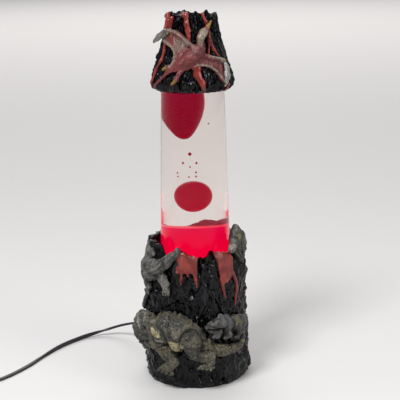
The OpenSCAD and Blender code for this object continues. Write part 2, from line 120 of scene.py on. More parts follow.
def srgb(red, green, blue):
    """A display colour from 0 to 255 as the linear colour that shaders use."""
    share = np.array([red, green, blue]) / 255
    return np.where(share < 0.0405, share / 12.92, ((share + 0.055) / 1.055) ** 2.4)


class Paint:
    """A Principled material whose nodes are added one at a time."""

    def __init__(self, name, colour, roughness, **sockets):
        self.material = bpy.data.materials.new(name)
        self.material.use_nodes = True
        self.tree = self.material.node_tree
        self.shader = self.tree.nodes["Principled BSDF"]
        self.set("Base Color", (*colour, 1))
        self.set("Roughness", roughness)
        for socket, value in sockets.items():
            self.set(socket.replace("_", " "), value)

    def set(self, socket, value):
        """Give a socket of the shader a constant."""
        self.shader.inputs[socket].default_value = value

    def node(self, kind, settings=(), **inputs):
        """A new node; its inputs, by name or as _number, are values or other nodes' outputs."""
        made = self.tree.nodes.new(kind)
        for key, value in dict(settings).items():
            setattr(made, key, value)
        for key, value in inputs.items():
            at = int(key[1:]) if key[1:].isdigit() else key.replace("_", " ")
            if isinstance(value, bpy.types.NodeSocket):
                self.tree.links.new(value, made.inputs[at])
            else:
                made.inputs[at].default_value = value
        return made

    def drive(self, socket, output):
        """Give a socket of the shader another node's output."""
        self.tree.links.new(output, self.shader.inputs[socket])

    def place(self):
        """Object coordinates, which are the shared frame in metres."""
        return self.node("ShaderNodeTexCoord").outputs["Object"]

    def stretched(self, x, y, z):
        """Coordinates scaled by one factor per axis."""
        mapping = self.node("ShaderNodeMapping", Vector=self.place(), Scale=(x, y, z))
        return mapping.outputs["Vector"]

    def noise(self, scale, detail, where=None):
        """Smooth noise from 0 to 1."""
        return self.node(
            "ShaderNodeTexNoise", Vector=where or self.place(), Scale=scale, Detail=detail
        ).outputs["Fac"]

    def cells(self, scale):
        """Distance to the nearest of scattered points."""
        made = self.node("ShaderNodeTexVoronoi", Vector=self.place(), Scale=scale)
        return made.outputs["Distance"]

    def ramp(self, factor, stops):
        """A colour ramp: stops are (position, colour) with the ends included."""
        made = self.node("ShaderNodeValToRGB", Fac=factor)
        line = made.color_ramp.elements
        while len(line) < len(stops):
            line.new(0.5)
        for element, (position, colour) in zip(line, stops):
            element.position = position
            element.color = (*colour, 1)
        return made.outputs["Color"]

    def span(self, value, low, high, to_low, to_high):
        """A value's range stretched to another range."""
        return self.node(
            "ShaderNodeMapRange", From_Min=low, From_Max=high, To_Min=to_low, To_Max=to_high,
            Value=value,
        ).outputs["Result"]

    def mix(self, factor, one, other):
        """A colour between two, each a colour or another node's output."""
        one, other = (c if isinstance(c, bpy.types.NodeSocket) else (*c, 1) for c in (one, other))
        made = self.node("ShaderNodeMix", {"data_type": "RGBA"}, _0=factor, _6=one, _7=other)
        return made.outputs[2]

    def maths(self, one, other, how="ADD"):
        """The sum of two values, or the result of another operation."""
        return self.node("ShaderNodeMath", {"operation": how}, _0=one, _1=other).outputs[0]

    def bump(self, height, strength, distance):
        """Let a height shade the surface as if it were uneven."""
        made = self.node("ShaderNodeBump", Height=height, Strength=strength, Distance=distance)
        self.drive("Normal", made.outputs["Normal"])

    def attribute(self, name):
        """A node that reads an attribute of the mesh."""
        return self.node("ShaderNodeAttribute", {"attribute_name": name})


def rock_paint():
    """Near-black semi-gloss resin, greyer and bluer on the ridges as a painted highlight."""
    p = Paint("rock_paint", (0.003, 0.003, 0.004), 0.2, Specular_IOR_Level=0.24)
    high = p.attribute("high").outputs["Fac"]
    speckle = p.noise(900, 6)
    # Painted highlight: the ramp turns greyer and bluer as the relief rises, standing in for glints
    # on the ridges
    shade = p.ramp(p.maths(high, p.span(speckle, 0.3, 0.7, -0.15, 0.15)), [
        (0.0, (0.0004, 0.0004, 0.0006)), (0.55, (0.0012, 0.0012, 0.0018)),
        (0.85, (0.0035, 0.004, 0.0055)), (1.0, (0.016, 0.018, 0.022)),
    ])
    p.drive("Base Color", shade)
    p.drive("Roughness", p.span(p.noise(300, 5), 0.35, 0.65, 0.08, 0.24))
    streak = p.noise(240, 4, p.stretched(1, 1, 0.4))
    p.bump(p.maths(streak, p.maths(p.noise(620, 4), 0.15, "MULTIPLY")), 0.3, 0.0018)
    return p.material


def clear_paint(name, colour, bend, mirror):
    """Glass or liquid: its colour, refraction and the strength of its reflections."""
    p = Paint(name, colour, 0.0, Transmission_Weight=1.0, IOR=bend)
    p.set("Specular Tint", (mirror, mirror, mirror, 1))
    return p.material


def wax_paint(name, low, high, glow_tones, body, glow):
    """Red wax with a painted glow: its emission stands in for the bulb's light from below, and runs
    through tones from one height to another.
    """
    p = Paint(name, body, 0.35, Subsurface_Weight=0.15, IOR=1.44, Specular_IOR_Level=0.06)
    p.set("Subsurface Radius", (0.02, 0.002, 0.002))
    height = p.node("ShaderNodeSeparateXYZ", Vector=p.place()).outputs["Z"]
    swirl = p.maths(height, p.span(p.noise(30, 3), 0.3, 0.7, -0.003, 0.003))
    stops = [(k / (len(glow_tones) - 1), tuple(srgb(*tone))) for k, tone in enumerate(glow_tones)]
    tone = p.ramp(p.span(swirl, low * MM, high * MM, 0.0, 1.0), stops)
    # Painted glow: emission in place of the bulb's light, its tone changing with height
    p.drive("Emission Color", tone)
    p.set("Emission Strength", glow)
    p.drive("Base Color", p.mix(p.span(p.noise(120, 4), 0.4, 0.7, 0.0, 0.5), body,
                                tuple(0.6 * c for c in body)))
    return p.material


def plain_metal(name, colour, roughness):
    """Bare metal with fine random scuffs."""
    p = Paint(name, colour, roughness, Metallic=1.0)
    scuff = p.noise(600, 6, p.stretched(1, 1, 0.12))
    p.drive("Roughness", p.span(scuff, 0.3, 0.7, roughness * 0.75, roughness * 1.35))
    tone = p.mix(p.span(p.noise(180, 4), 0.35, 0.65, 0.0, 1.0), colour,
                 tuple(c * 0.78 for c in colour))
    p.drive("Base Color", tone)
    p.bump(scuff, 0.12, 0.0003)
    return p.material


def plain_plastic(name, colour, roughness):
    """Moulded plastic or rubber with a fine texture."""
    p = Paint(name, colour, roughness)
    p.drive("Roughness", p.span(p.noise(220, 4), 0.3, 0.7, roughness * 0.85, roughness * 1.2))
    tone = p.mix(p.span(p.noise(90, 3), 0.4, 0.6, 0.0, 0.35), colour,
                 tuple(min(1.0, c * 1.35 + 0.004) for c in colour))
    p.drive("Base Color", tone)
    p.bump(p.noise(1500, 4), 0.18, 0.0004)
    return p.material


# ---------------------------------------------------------------- noise on points

def lattice(i, j, k, seed):
    """A fixed pseudo-random number from 0 to 1 for each whole-number place."""
    n = (i * 73856093) ^ (j * 19349663) ^ (k * 83492791) ^ (seed * 2654435 + 12345)
    n = ((n ^ (n >> 13)) * 1274126177) & 0x7FFFFFFF
    return ((n ^ (n >> 15)) & 0xFFFF) / 65535.0


def wave(points, size, seed=0):
    """Smooth value noise from -1 to 1, with features of the given size."""
    q = points / size
    whole = np.floor(q).astype(np.int64)
    f = q - whole
    f = f * f * (3 - 2 * f)
    total = np.zeros(len(points))
    for di, dj, dk in itertools.product((0, 1), repeat=3):
        weight = (
            np.where(di, f[:, 0], 1 - f[:, 0])
            * np.where(dj, f[:, 1], 1 - f[:, 1])
            * np.where(dk, f[:, 2], 1 - f[:, 2])
        )
        total += weight * lattice(whole[:, 0] + di, whole[:, 1] + dj, whole[:, 2] + dk, seed)
    return 2 * total - 1


def cells(points, size, seed=0):
    """Distance to the nearest cell point, and a random tilted plane of that cell."""
    q = points / size
    whole = np.floor(q).astype(np.int64)
    best = np.full(len(points), 9.0)
    second = best.copy()
    plane = np.zeros(len(points))
    for shift in itertools.product((-1, 0, 1), repeat=3):
        at = whole + shift
        i, j, k = at.T
        centre = at + np.stack([lattice(i, j, k, seed + s) for s in (1, 2, 3)], 1)
        away = q - centre
        distance = np.linalg.norm(away, axis=1)
        tilt = np.stack([lattice(i, j, k, seed + s) for s in (4, 5, 6)], 1) - 0.5
        nearer = distance < best
        second = np.where(nearer, best, np.minimum(second, distance))
        plane = np.where(nearer, (away * tilt).sum(1) + lattice(i, j, k, seed + 7) - 0.5, plane)
        best = np.where(nearer, distance, best)
    return best, second, plane


def smooth_step(value, low, high):
    """From 0 at low to 1 at high, levelling off at both."""
    t = np.clip((value - low) / (high - low), 0, 1)
    return t * t * (3 - 2 * t)


def smooth_drop(value, low, high):
    """From 1 at low to 0 at high."""
    return 1 - smooth_step(value, low, high)


# ---------------------------------------------------------------- meshes

def settle(mesh, name, material, body, replaces, slot, crease):
    """A finished mesh as a smooth piece that rides on a body and stands for CAD nodes."""
    mesh.shade_smooth()
    if crease:
        mesh.set_sharp_from_angle(angle=math.radians(crease))
    mesh.materials.append(material)
    piece = linked(name, mesh)
    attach(piece, body)
    if replaces:
        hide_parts(*replaces)
    return piece


def mesh_object(name, points, faces, material, body, replaces, slot, crease=None):
    """A piece from points in millimetres and an array of faces."""
    mesh = bpy.data.meshes.new(name)
    faces = np.asarray(faces)
    mesh.vertices.add(len(points))
    mesh.vertices.foreach_set("co", (np.asarray(points) * MM).astype(np.float32).ravel())
    mesh.loops.add(faces.size)
    mesh.loops.foreach_set("vertex_index", faces.astype(np.int32).ravel())
    mesh.polygons.add(len(faces))
    mesh.polygons.foreach_set("loop_start", np.arange(0, faces.size, faces.shape[1]))
    mesh.update(calc_edges=True)
    mesh.validate()
    return settle(mesh, name, material, body, replaces, slot, crease)


def give_attribute(piece, name, values):
    """One number per point, read by the material."""
    layer = piece.data.attributes.new(name, "FLOAT", "POINT")
    layer.data.foreach_set("value", np.asarray(values, np.float32))


def grid_faces(rows, columns, close_rows=False):
    """Quads of a grid of rows of points whose columns run round and close."""
    j = np.arange(rows if close_rows else rows - 1)[:, None]
    i = np.arange(columns)[None, :]
    k, n = (j + 1) % rows, (i + 1) % columns
    return np.stack(
        [j * columns + i, j * columns + n, k * columns + n, k * columns + i], -1
    ).reshape(-1, 4)


def capped_faces(rows, columns):
    """Triangles of such a grid with a fan at each end, round two more points after its own."""
    quads = grid_faces(rows, columns)
    i = np.arange(columns)
    n, last, centre = (i + 1) % columns, (rows - 1) * columns, 0 * i + rows * columns
    return np.concatenate([
        quads[:, [0, 1, 2]], quads[:, [0, 2, 3]],
        np.stack([n, i, centre], 1), np.stack([last + i, last + n, centre + 1], 1),
    ])


def revolve(name, profile, material, body, replaces, slot):
    """A solid of revolution from (radius, height) points that start and end on the axis."""
    segments = 192
    angle = np.arange(segments) * TURN / segments
    points, rings = [], []
    for radius, height in profile:
        on_axis = radius < 1e-9
        rings.append(len(points) + np.arange(segments) * (not on_axis))
        x, y = radius * np.cos(angle), radius * np.sin(angle)
        points += [(0.0, 0.0, height)] if on_axis else list(zip(x, y, [height] * segments))
    faces = []
    for a, b in zip(rings, rings[1:]):
        for corners in np.stack([a, np.roll(a, -1), np.roll(b, -1), b], 1).tolist():
            faces.append(list(dict.fromkeys(corners)))
    mesh = bpy.data.meshes.new(name)
    mesh.from_pydata((np.array(points) * MM).tolist(), [], faces)
    mesh.update()
    return settle(mesh, name, material, body, replaces, slot, 35)


# ---------------------------------------------------------------- the lamp's own sizes

FOOT_Z = low_mm("base_rock")[2]
FOOT_R = 58.5
RIM_R = 52.0
RIM_AT = 150.0
# Radii inside the base: the globe's well, the ledge's mouth, the chamber and the plate's recess
WELL_R, MOUTH_R, CHAMBER_R, RECESS_R = 46.5, 42, 50.0, 55.2
LEDGE_Z = low_mm("globe_cup")[2]
# Height of the base's rim against the angle, in degrees and millimetres
RIM = [
    (0, 152), (20, 150), (45, 158), (60, 161), (80, 156), (100, 158), (125, 160), (150, 155),
    (165, 158), (185, 156), (205, 160), (222, 158), (231, 149), (240, 152), (249, 157),
    (262, 151), (270, 148), (280, 148), (288, 155), (298, 149), (315, 147), (330, 150),
    (345, 155), (360, 152),
]
CAP_Z = low_mm("cap_rock")[2]
# Radius of the cap's rock against its height
CAP = [(323, 39), (326, 43), (332, 45), (349, 39.6), (366, 33.8), (387, 28.4), (400, 26), (406, 25)]
# Height of the crater's rim against the angle
CRATER = [
    (0, 403), (25, 399), (50, 404), (80, 400), (110, 405), (140, 400), (170, 404), (195, 402),
    (215, 405), (235, 401), (250, 404), (268, 401), (280, 405), (295, 402), (310, 406),
    (335, 400), (360, 403),
]


CRATER_FLOOR_Z, NECK_TOP_Z = 393.2, 366.1


def follow(table, at):
    """A table of (place, value) read at any places."""
    places, values = zip(*table)
    return np.interp(at, places, values)


def base_radius(height):
    """Mean radius of the base's rock at a height."""
    return FOOT_R - (FOOT_R - RIM_R) * height / RIM_AT


def cap_radius(height):
    """Mean radius of the cap's rock at a height."""
    return follow(CAP, height)


# ---------------------------------------------------------------- rock

def crag(points, size, seed):
    """Sharp ridges and round hollows, from -1 to 1."""
    return 1 - 2 * np.abs(wave(points, size, seed)) ** 0.85


def rings_to_points(angle, radius, height):
    """Points in a row from angles in degrees, radii and heights."""
    angle, radius, height = np.broadcast_arrays(angle, radius, height)
    a = np.radians(angle)
    return np.stack([radius * np.cos(a), radius * np.sin(a), height], -1).reshape(-1, 3)


def rock_relief(angle, height, radius, seed):
    """How far the rock stands out from its mean surface, from about -1 to 1."""
    side = np.stack([-np.sin(np.radians(angle)), np.cos(np.radians(angle))], 1)
    place = rings_to_points(angle, radius, height)

    def leaning(lean, tall):
        there = place.copy()
        there[:, :2] += side * (lean * height)[:, None]
        there[:, 2] *= tall
        return there

    bend = np.stack([wave(place, 11, seed + s) for s in (20, 21, 22)], 1) * 2.6
    one, other = leaning(0.5, 0.34) + bend, leaning(-0.6, 0.4) + 0.8 * bend
    near, second, plane = cells(leaning(0.3, 0.5) + 0.8 * bend, 13.5, seed + 30)
    split = np.exp(-((second - near) * 7) ** 2)
    return (
        0.6 * crag(one, 10.0, seed + 40) - 0.46 * crag(other, 8.0, seed + 45) + 0.62 * plane
        - 0.32 * split + 0.26 * crag(one, 4.6, seed + 50) - 0.1 * crag(other, 3.0, seed + 53)
    )


def rock_skin(table, low_z, radius_at, rows, columns, seed, teeth):
    """Angles, heights, mean radii and relief over a rock from its foot to its jagged rim."""
    angle = np.arange(columns) * 360.0 / columns
    circle = rings_to_points(angle, 40, 0)
    coarse, fine = np.abs(wave(circle, 8.0, seed + 60)), np.abs(wave(circle, 3.4, seed + 61))
    rim = follow(table, angle) + teeth * (0.9 - 2.0 * coarse - 0.7 * fine)
    height = low_z + (rim - low_z) * np.linspace(0, 1, rows)[:, None]
    mean = radius_at(height)
    a = np.broadcast_to(angle, height.shape)
    relief = rock_relief(a.ravel(), height.ravel(), mean.ravel(), seed).reshape(height.shape)
    return angle, height, mean, relief


def make_rock(name, node, body, points, faces, paint, first, relief):
    """A rock piece; its relief, from the point numbered first, tells the paint what is high."""
    piece = mesh_object(name, points, faces, paint, body, [node], "rock", crease=60)
    high = np.full(len(points), 0.3)
    high[first: first + relief.size] = 0.5 + 0.42 * relief.ravel()
    give_attribute(piece, "high", high)


def make_base_rock(paint):
    """The hollow base: rock outside, a smooth well and chamber inside."""
    depth, columns = 3.0, 600
    angle, height, mean, relief = rock_skin(
        RIM, FOOT_Z, base_radius, 260, columns, seed=3, teeth=2.6
    )
    foot = smooth_step(height - FOOT_Z, 0, 5)
    radius = mean + depth * relief * (0.35 + 0.65 * foot) - 1.2 * (1 - foot)
    parts = [rings_to_points(angle, radius, height)]
    rim = height[-1]
    for share in (0.25, 0.5, 0.75):
        r = radius[-1] + (WELL_R + 1.0 - radius[-1]) * share
        bumpy = wave(rings_to_points(angle, r, rim), 3.0, 77)
        parts.append(rings_to_points(angle, r, rim + 0.9 * bumpy * math.sin(math.pi * share)))
    for z in [rim - 1.5] + [LEDGE_Z + (rim - LEDGE_Z - 3) * s for s in (0.9, 0.8, 0.6, 0.4, 0.2)]:
        r = WELL_R + 0.8 + 0.7 * wave(rings_to_points(angle, WELL_R, z), 5.0, 88)
        parts.append(rings_to_points(angle, r, z))
    plate_top = high_mm("bottom_plate")[2]
    for r, z in (
        (WELL_R, LEDGE_Z + 1), (WELL_R, LEDGE_Z), (MOUTH_R, LEDGE_Z), (MOUTH_R, LEDGE_Z - 4),
        (CHAMBER_R, LEDGE_Z - 12), (CHAMBER_R, plate_top), (RECESS_R, plate_top),
        (RECESS_R, FOOT_Z),
    ):
        parts.append(rings_to_points(angle, r, z))
    points = np.concatenate(parts)
    faces = grid_faces(len(points) // columns, columns, True)
    make_rock("rock_base", "base_rock", "base", points, faces, paint, 0, relief)


def make_cap_rock(paint):
    """The cap: a bore for the globe's top, rock outside and a crater on top."""
    depth, columns = 2.2, 480
    angle, height, mean, relief = rock_skin(
        CRATER, CAP_Z, cap_radius, 170, columns, seed=11, teeth=2.4
    )
    radius = mean - 0.6 + depth * relief
    bore = ((19, NECK_TOP_Z), (20, 363), (35, 349), (36.5, CAP_Z + 1), (37.5, CAP_Z))
    parts = [rings_to_points(angle, r, z) for r, z in bore]
    parts.append(rings_to_points(angle, radius, height))
    rim = height[-1]
    for share in (0.3, 0.6, 1.0):
        r = radius[-1] + (19.5 - radius[-1]) * share
        z = rim - 5.0 * share ** 2 + 0.8 * wave(rings_to_points(angle, r, rim), 3.0, 78)
        parts.append(rings_to_points(angle, r, z))
    for r, z in ((16, 394.5), (12, 393.6), (6, CRATER_FLOOR_Z)):
        bumpy = wave(rings_to_points(angle, r, z), 4.0, 79)
        parts.append(rings_to_points(angle, r, z + 0.5 * bumpy))
    points = np.concatenate(parts + [[(0, 0, NECK_TOP_Z), (0, 0, CRATER_FLOOR_Z)]])
    faces = capped_faces(len(points) // columns, columns)
    make_rock("rock_cap", "cap_rock", "cap", points, faces, paint, len(bore) * columns, relief)


# ---------------------------------------------------------------- globe and wax

GLASS = 2.5
# How far the pool's level lies below the CAD's on the axis, and how it rises to the front
POOL_SINK, POOL_TIP = 6.2, 0.185
SHOULDER_Z, NECK_Z = 338.0, 356.0


def bottle(inset):
    """The globe's outline drawn in by an inset, from the axis at its foot to the lip."""
    foot_r, foot_z, foot_round = 40.0, low_mm("globe_glass")[2], 6.0
    top_r, shoulder_round, neck_r = 33.8, 14.0, 13.0
    lip_z = high_mm("globe_glass")[2]
    line = [(0.0, foot_z + inset)]
    for t in np.radians(np.arange(-90, 1, 7.5)):
        line.append((
            foot_r - foot_round + (foot_round - inset) * math.cos(t),
            foot_z + foot_round + (foot_round - inset) * math.sin(t),
        ))
    for t in np.radians(np.arange(0, 76, 7.5)):
        line.append((
            top_r - shoulder_round + (shoulder_round - inset) * math.cos(t),
            SHOULDER_Z + (shoulder_round - inset) * math.sin(t),
        ))
    line += [(neck_r - inset, NECK_Z - inset / 2), (neck_r - inset, lip_z)]
    return line


def cut_outline(line, low, high):
    """The part of an outline between two heights, closed to the axis at both ends."""
    radii, heights = zip(*line)
    inside = [(r, z) for r, z in line if low < z < high]
    start = [(0.0, low), (float(np.interp(low, heights, radii)), low)]
    end = [(float(np.interp(high, heights, radii)), high), (0.0, high)]
    if low <= heights[0]:
        start = [line[0]]
    return start + inside + end


def make_globe():
    """The glass, and the clear liquid from the pool to the shoulder."""
    revolve(
        "globe", bottle(0) + bottle(GLASS)[::-1],
        clear_paint("globe_glass", (1, 1, 1), bend=1.5, mirror=0.16), "globe", ["globe_glass"],
        "globe_glass",
    )
    low, high = high_mm("wax_pool")[2] - 0.4, high_mm("clear_liquid")[2]
    liquid = revolve(
        "liquid", cut_outline(bottle(GLASS - 0.25), low, high),
        clear_paint("clear_liquid", (0.945, 0.872, 0.835), bend=1.33, mirror=0.2), "globe",
        ["clear_liquid"], "liquid",
    )
    tip_level(liquid, low)


def tip_level(piece, level):
    """Sink a level surface and tip it up towards the front, as the wax last cooled."""
    for vertex in piece.data.vertices:
        if abs(vertex.co.z - level * MM) < 0.5 * MM:
            vertex.co.z -= POOL_SINK * MM + POOL_TIP * vertex.co.y
    piece.data.update()


def loft(rings, count, wall=None):
    """Points and faces of a lump through rings (height, left, right, middle y, half depth).

    Where a wall gives the largest radius at a height, the lump lies flat against it.
    """
    heights, left, right, middle, depth = (np.array(column) for column in zip(*rings))
    z = np.linspace(heights[0], heights[-1], 90)
    order = np.argsort(heights)
    x0, x1, y, d = (
        np.interp(z, heights[order], column[order]) for column in (left, right, middle, depth)
    )
    angle = np.arange(count) * TURN / count
    x = ((x0 + x1) / 2)[:, None] + ((x1 - x0) / 2)[:, None] * np.cos(angle)
    y = y[:, None] + d[:, None] * np.sin(angle)
    points = np.stack([x, y, np.broadcast_to(z[:, None], x.shape)], -1).reshape(-1, 3)
    if wall is not None:
        out = np.hypot(points[:, 0], points[:, 1])
        points[:, :2] *= (np.minimum(out, wall(points[:, 2])) / np.maximum(out, 1e-6))[:, None]
    points = np.concatenate([points, [points[:count].mean(0), points[-count:].mean(0)]])
    return points, capped_faces(len(z), count)


def ball(centre, radii, seed, rough, rows=24, count=40):
    """Points and faces of a slightly uneven ellipsoid."""
    tilt = np.radians(np.linspace(-87, 87, rows))
    rings = [
        (centre[2] + radii[2] * math.sin(t), centre[0] - radii[0] * math.cos(t),
         centre[0] + radii[0] * math.cos(t), centre[1], radii[1] * math.cos(t))
        for t in tilt
    ]
    points, faces = loft(rings, count)
    away = points - centre
    uneven = 1 + rough * wave(away / np.linalg.norm(away, axis=1)[:, None] + seed, 0.9, seed)
    return centre + away * uneven[:, None], faces


def inner_wall(height):
    """Radius at which wax lies in the glass."""
    return follow([(z, r) for r, z in bottle(GLASS + 0.3)], height)


def make_wax():
    """The hot pool, the lump under the cap, the round blob and the droplets."""
    pool_z = high_mm("wax_pool")[2]
    # Painted glow: the pool emits light in place of the bulb's light from below
    hot = wax_paint(
        "pool_wax", low=140, high=pool_z + 7, body=(0.10, 0.0, 0.004), glow=1.0,
        glow_tones=[(236, 0, 50), (232, 0, 52), (224, 2, 58), (216, 20, 74)],
    )
    outline = cut_outline(bottle(GLASS - 0.35), low_mm("wax_pool")[2], pool_z)
    pool = revolve("molten_pool", outline, hot, "globe", ["wax_pool"], "glowing_wax")
    tip_level(pool, pool_z)

    # Painted glow: the cooled wax also emits light in place of the bulb's light from below
    cool = wax_paint(
        "cool_wax", low=185, high=335, body=(0.05, 0.0, 0.003), glow=0.95,
        glow_tones=[(166, 0, 34), (152, 0, 33), (132, 0, 32), (138, 0, 38)],
    )
    # The lump under the cap: height, left, right, middle y and half depth
    lump = [
        (348, -12, 2, 0, 9), (340, -26, 6, 0, 16), (330, -31, 8.4, 0, 21), (317, -31.4, 9.2, 0, 22),
        (310, -31.6, 9.6, 0, 22), (302, -30.8, 9.2, 0, 21.5), (294, -28, 7.6, 0, 19.5),
        (288, -25, 5.8, 0, 17), (282, -21.6, 3.5, 0, 14), (277, -18.3, 1.1, 0, 10.5),
        (272.4, -14.6, -1.6, 0, 6.8), (270, -11.6, -4.2, 0, 3.8), (269.2, -8.8, -6.8, 0, 1.2),
    ]
    mesh_object(
        "hanging_lump", *loft(lump, 96, inner_wall), cool, "globe", ["hanging_wax"], "wax"
    )

    low, high = low_mm("wax_blob"), high_mm("wax_blob")
    middle, radii = (low + high) / 2 + (-1.1, 0, 0.8), (high - low) / 2 - 0.3
    blob = ball(middle, radii, seed=5, rough=0.02, rows=60, count=96)
    mesh_object("round_blob", *blob, cool, "rising_wax", ["wax_blob"], "wax")

    # Droplets: x, y, z and half width
    drops = [
        (-3.6, -19, 256, 2.3), (2.4, -19, 246, 1.6), (-10.1, -18, 246, 1.6), (-3.6, -20, 242, 1.2),
        (1.9, -20, 236, 1.3), (1.9, -20, 231.5, 1.3), (-15.6, -16, 235, 1.1),
        (-15.1, -16, 231, 1.1), (-4.9, -20, 231, 1.1), (14.4, -16, 288, 1.0),
    ]
    points, faces = [], []
    for k, (*centre, size) in enumerate(drops):
        bead = ball(np.array(centre, float), size * np.array([0.66, 0.6, 0.8]), 7 + k, 0.15)
        faces.append(bead[1] + sum(map(len, points)))
        points.append(bead[0])
    mesh_object(
        "small_drops", np.concatenate(points), np.concatenate(faces), cool, "globe",
        ["wax_droplets"], "wax",
    )
    make_film(pool_z)


def make_film(pool_z):
    """Cooled wax clinging to the back of the glass, just above the pool."""
    # Painted glow: the film emits light too, in place of the bulb's light
    film = wax_paint(
        "wax_film", low=170, high=195, body=(0.25, 0.08, 0.09), glow=0.5,
        glow_tones=[(132, 40, 60), (148, 84, 92), (140, 88, 94)],
    )
    angle = np.linspace(54, 102, 90)
    crest = (
        5.0 + 2.6 * np.exp(-((angle - 63) / 5) ** 2) + 2.4 * np.exp(-((angle - 79) / 7) ** 2)
        + 0.7 * wave(np.stack([angle] * 3, 1), 2.5, 151)
    )
    crest *= smooth_step(angle, 54, 59) * smooth_drop(angle, 84, 102)
    foot = pool_z - POOL_SINK - POOL_TIP * 38 * np.sin(np.radians(angle)) - 1.0
    front, back = [], []
    for share in np.linspace(0, 1, 8):
        z = foot + (crest + 1.2) * share
        front.append(rings_to_points(angle, inner_wall(z) - 1.1 * (1 - share), z))
        back.append(rings_to_points(angle, inner_wall(z) + 0.1, z))
    loops = np.stack(front + back[::-1], 1)
    faces = grid_faces(*loops.shape[:2])
    mesh_object("wax_film", loops.reshape(-1, 3), faces, film, "globe", (), "wax")


# ---------------------------------------------------------------- clay

def soft_min(one, other, blend):
    """The lesser of two distances, rounded where they are alike."""
    h = np.maximum(blend - np.abs(one - other), 0) / blend
    return np.minimum(one, other) - h * h * blend / 4


def squared_away(u, v, line):
    """Squared distance from places (u, v) to a line through points."""
    best = np.full(u.shape, 1e9)
    for a, b in zip(line, line[1:]):
        edge = b - a
        t = ((u - a[0]) * edge[0] + (v - a[1]) * edge[1]) / max(edge @ edge, 1e-6)
        t = t.clip(0, 1)
        best = np.minimum(best, (u - a[0] - t * edge[0]) ** 2 + (v - a[1] - t * edge[1]) ** 2)
    return best


def polygon_distance(u, v, corners):
    """Signed distance to a closed outline, negative inside."""
    loop = np.concatenate([corners, corners[:1]])
    inside = np.zeros(u.shape, bool)
    for a, b in zip(loop, loop[1:]):
        edge = b - a
        crosses = (a[1] > v) != (b[1] > v)
        rise = edge[1] if abs(edge[1]) > 1e-9 else 1e-9
        inside ^= crosses & (u < a[0] + (v - a[1]) * edge[0] / rise)
    return np.where(inside, -1, 1) * np.sqrt(squared_away(u, v, loop))


def surface_net(field):
    """Points (in cells) and quads of the surface where a field of distances crosses zero."""
    solid = field < 0
    corners = list(itertools.product((0, 1), repeat=3))
    size = np.array(field.shape) - 1

    def shifted(grid, c):
        return grid[c[0]: c[0] + size[0], c[1]: c[1] + size[1], c[2]: c[2] + size[2]]

    count = sum(shifted(solid, c).astype(np.int8) for c in corners)
    i, j, k = np.nonzero((count > 0) & (count < 8))
    number = np.full(tuple(size), -1, np.int64)
    number[i, j, k] = np.arange(len(i))
    total = np.zeros((len(i), 3))
    hits = np.zeros(len(i))
    for one, other in itertools.combinations(corners, 2):
        step = np.subtract(other, one)
        if np.abs(step).sum() != 1:
            continue
        a = field[i + one[0], j + one[1], k + one[2]]
        b = field[i + other[0], j + other[1], k + other[2]]
        cross = (a < 0) != (b < 0)
        t = np.where(cross, a / np.where(cross, a - b, 1), 0)
        total += cross[:, None] * (np.array(one) + t[:, None] * step)
        hits += cross
    points = np.stack([i, j, k], 1) + total / hits[:, None]
    quads = []
    for axes in ((0, 1, 2), (1, 2, 0), (2, 0, 1)):
        step, side, up = np.eye(3, dtype=int)[list(axes)]
        start = 1 - step
        here = tuple(slice(a, n) for a, n in zip(start, size))
        ahead = tuple(slice(a, n) for a, n in zip(start + step, size + step))
        at = np.argwhere(solid[here] != solid[ahead]) + start
        around = (0 * side, side, side + up, up)
        quad = np.stack([number[tuple((at - shift).T)] for shift in around], 1)
        flip = ~solid[tuple(at.T)]
        quad[flip] = quad[flip][:, ::-1]
        quads.append(quad)
    return points, np.concatenate(quads)


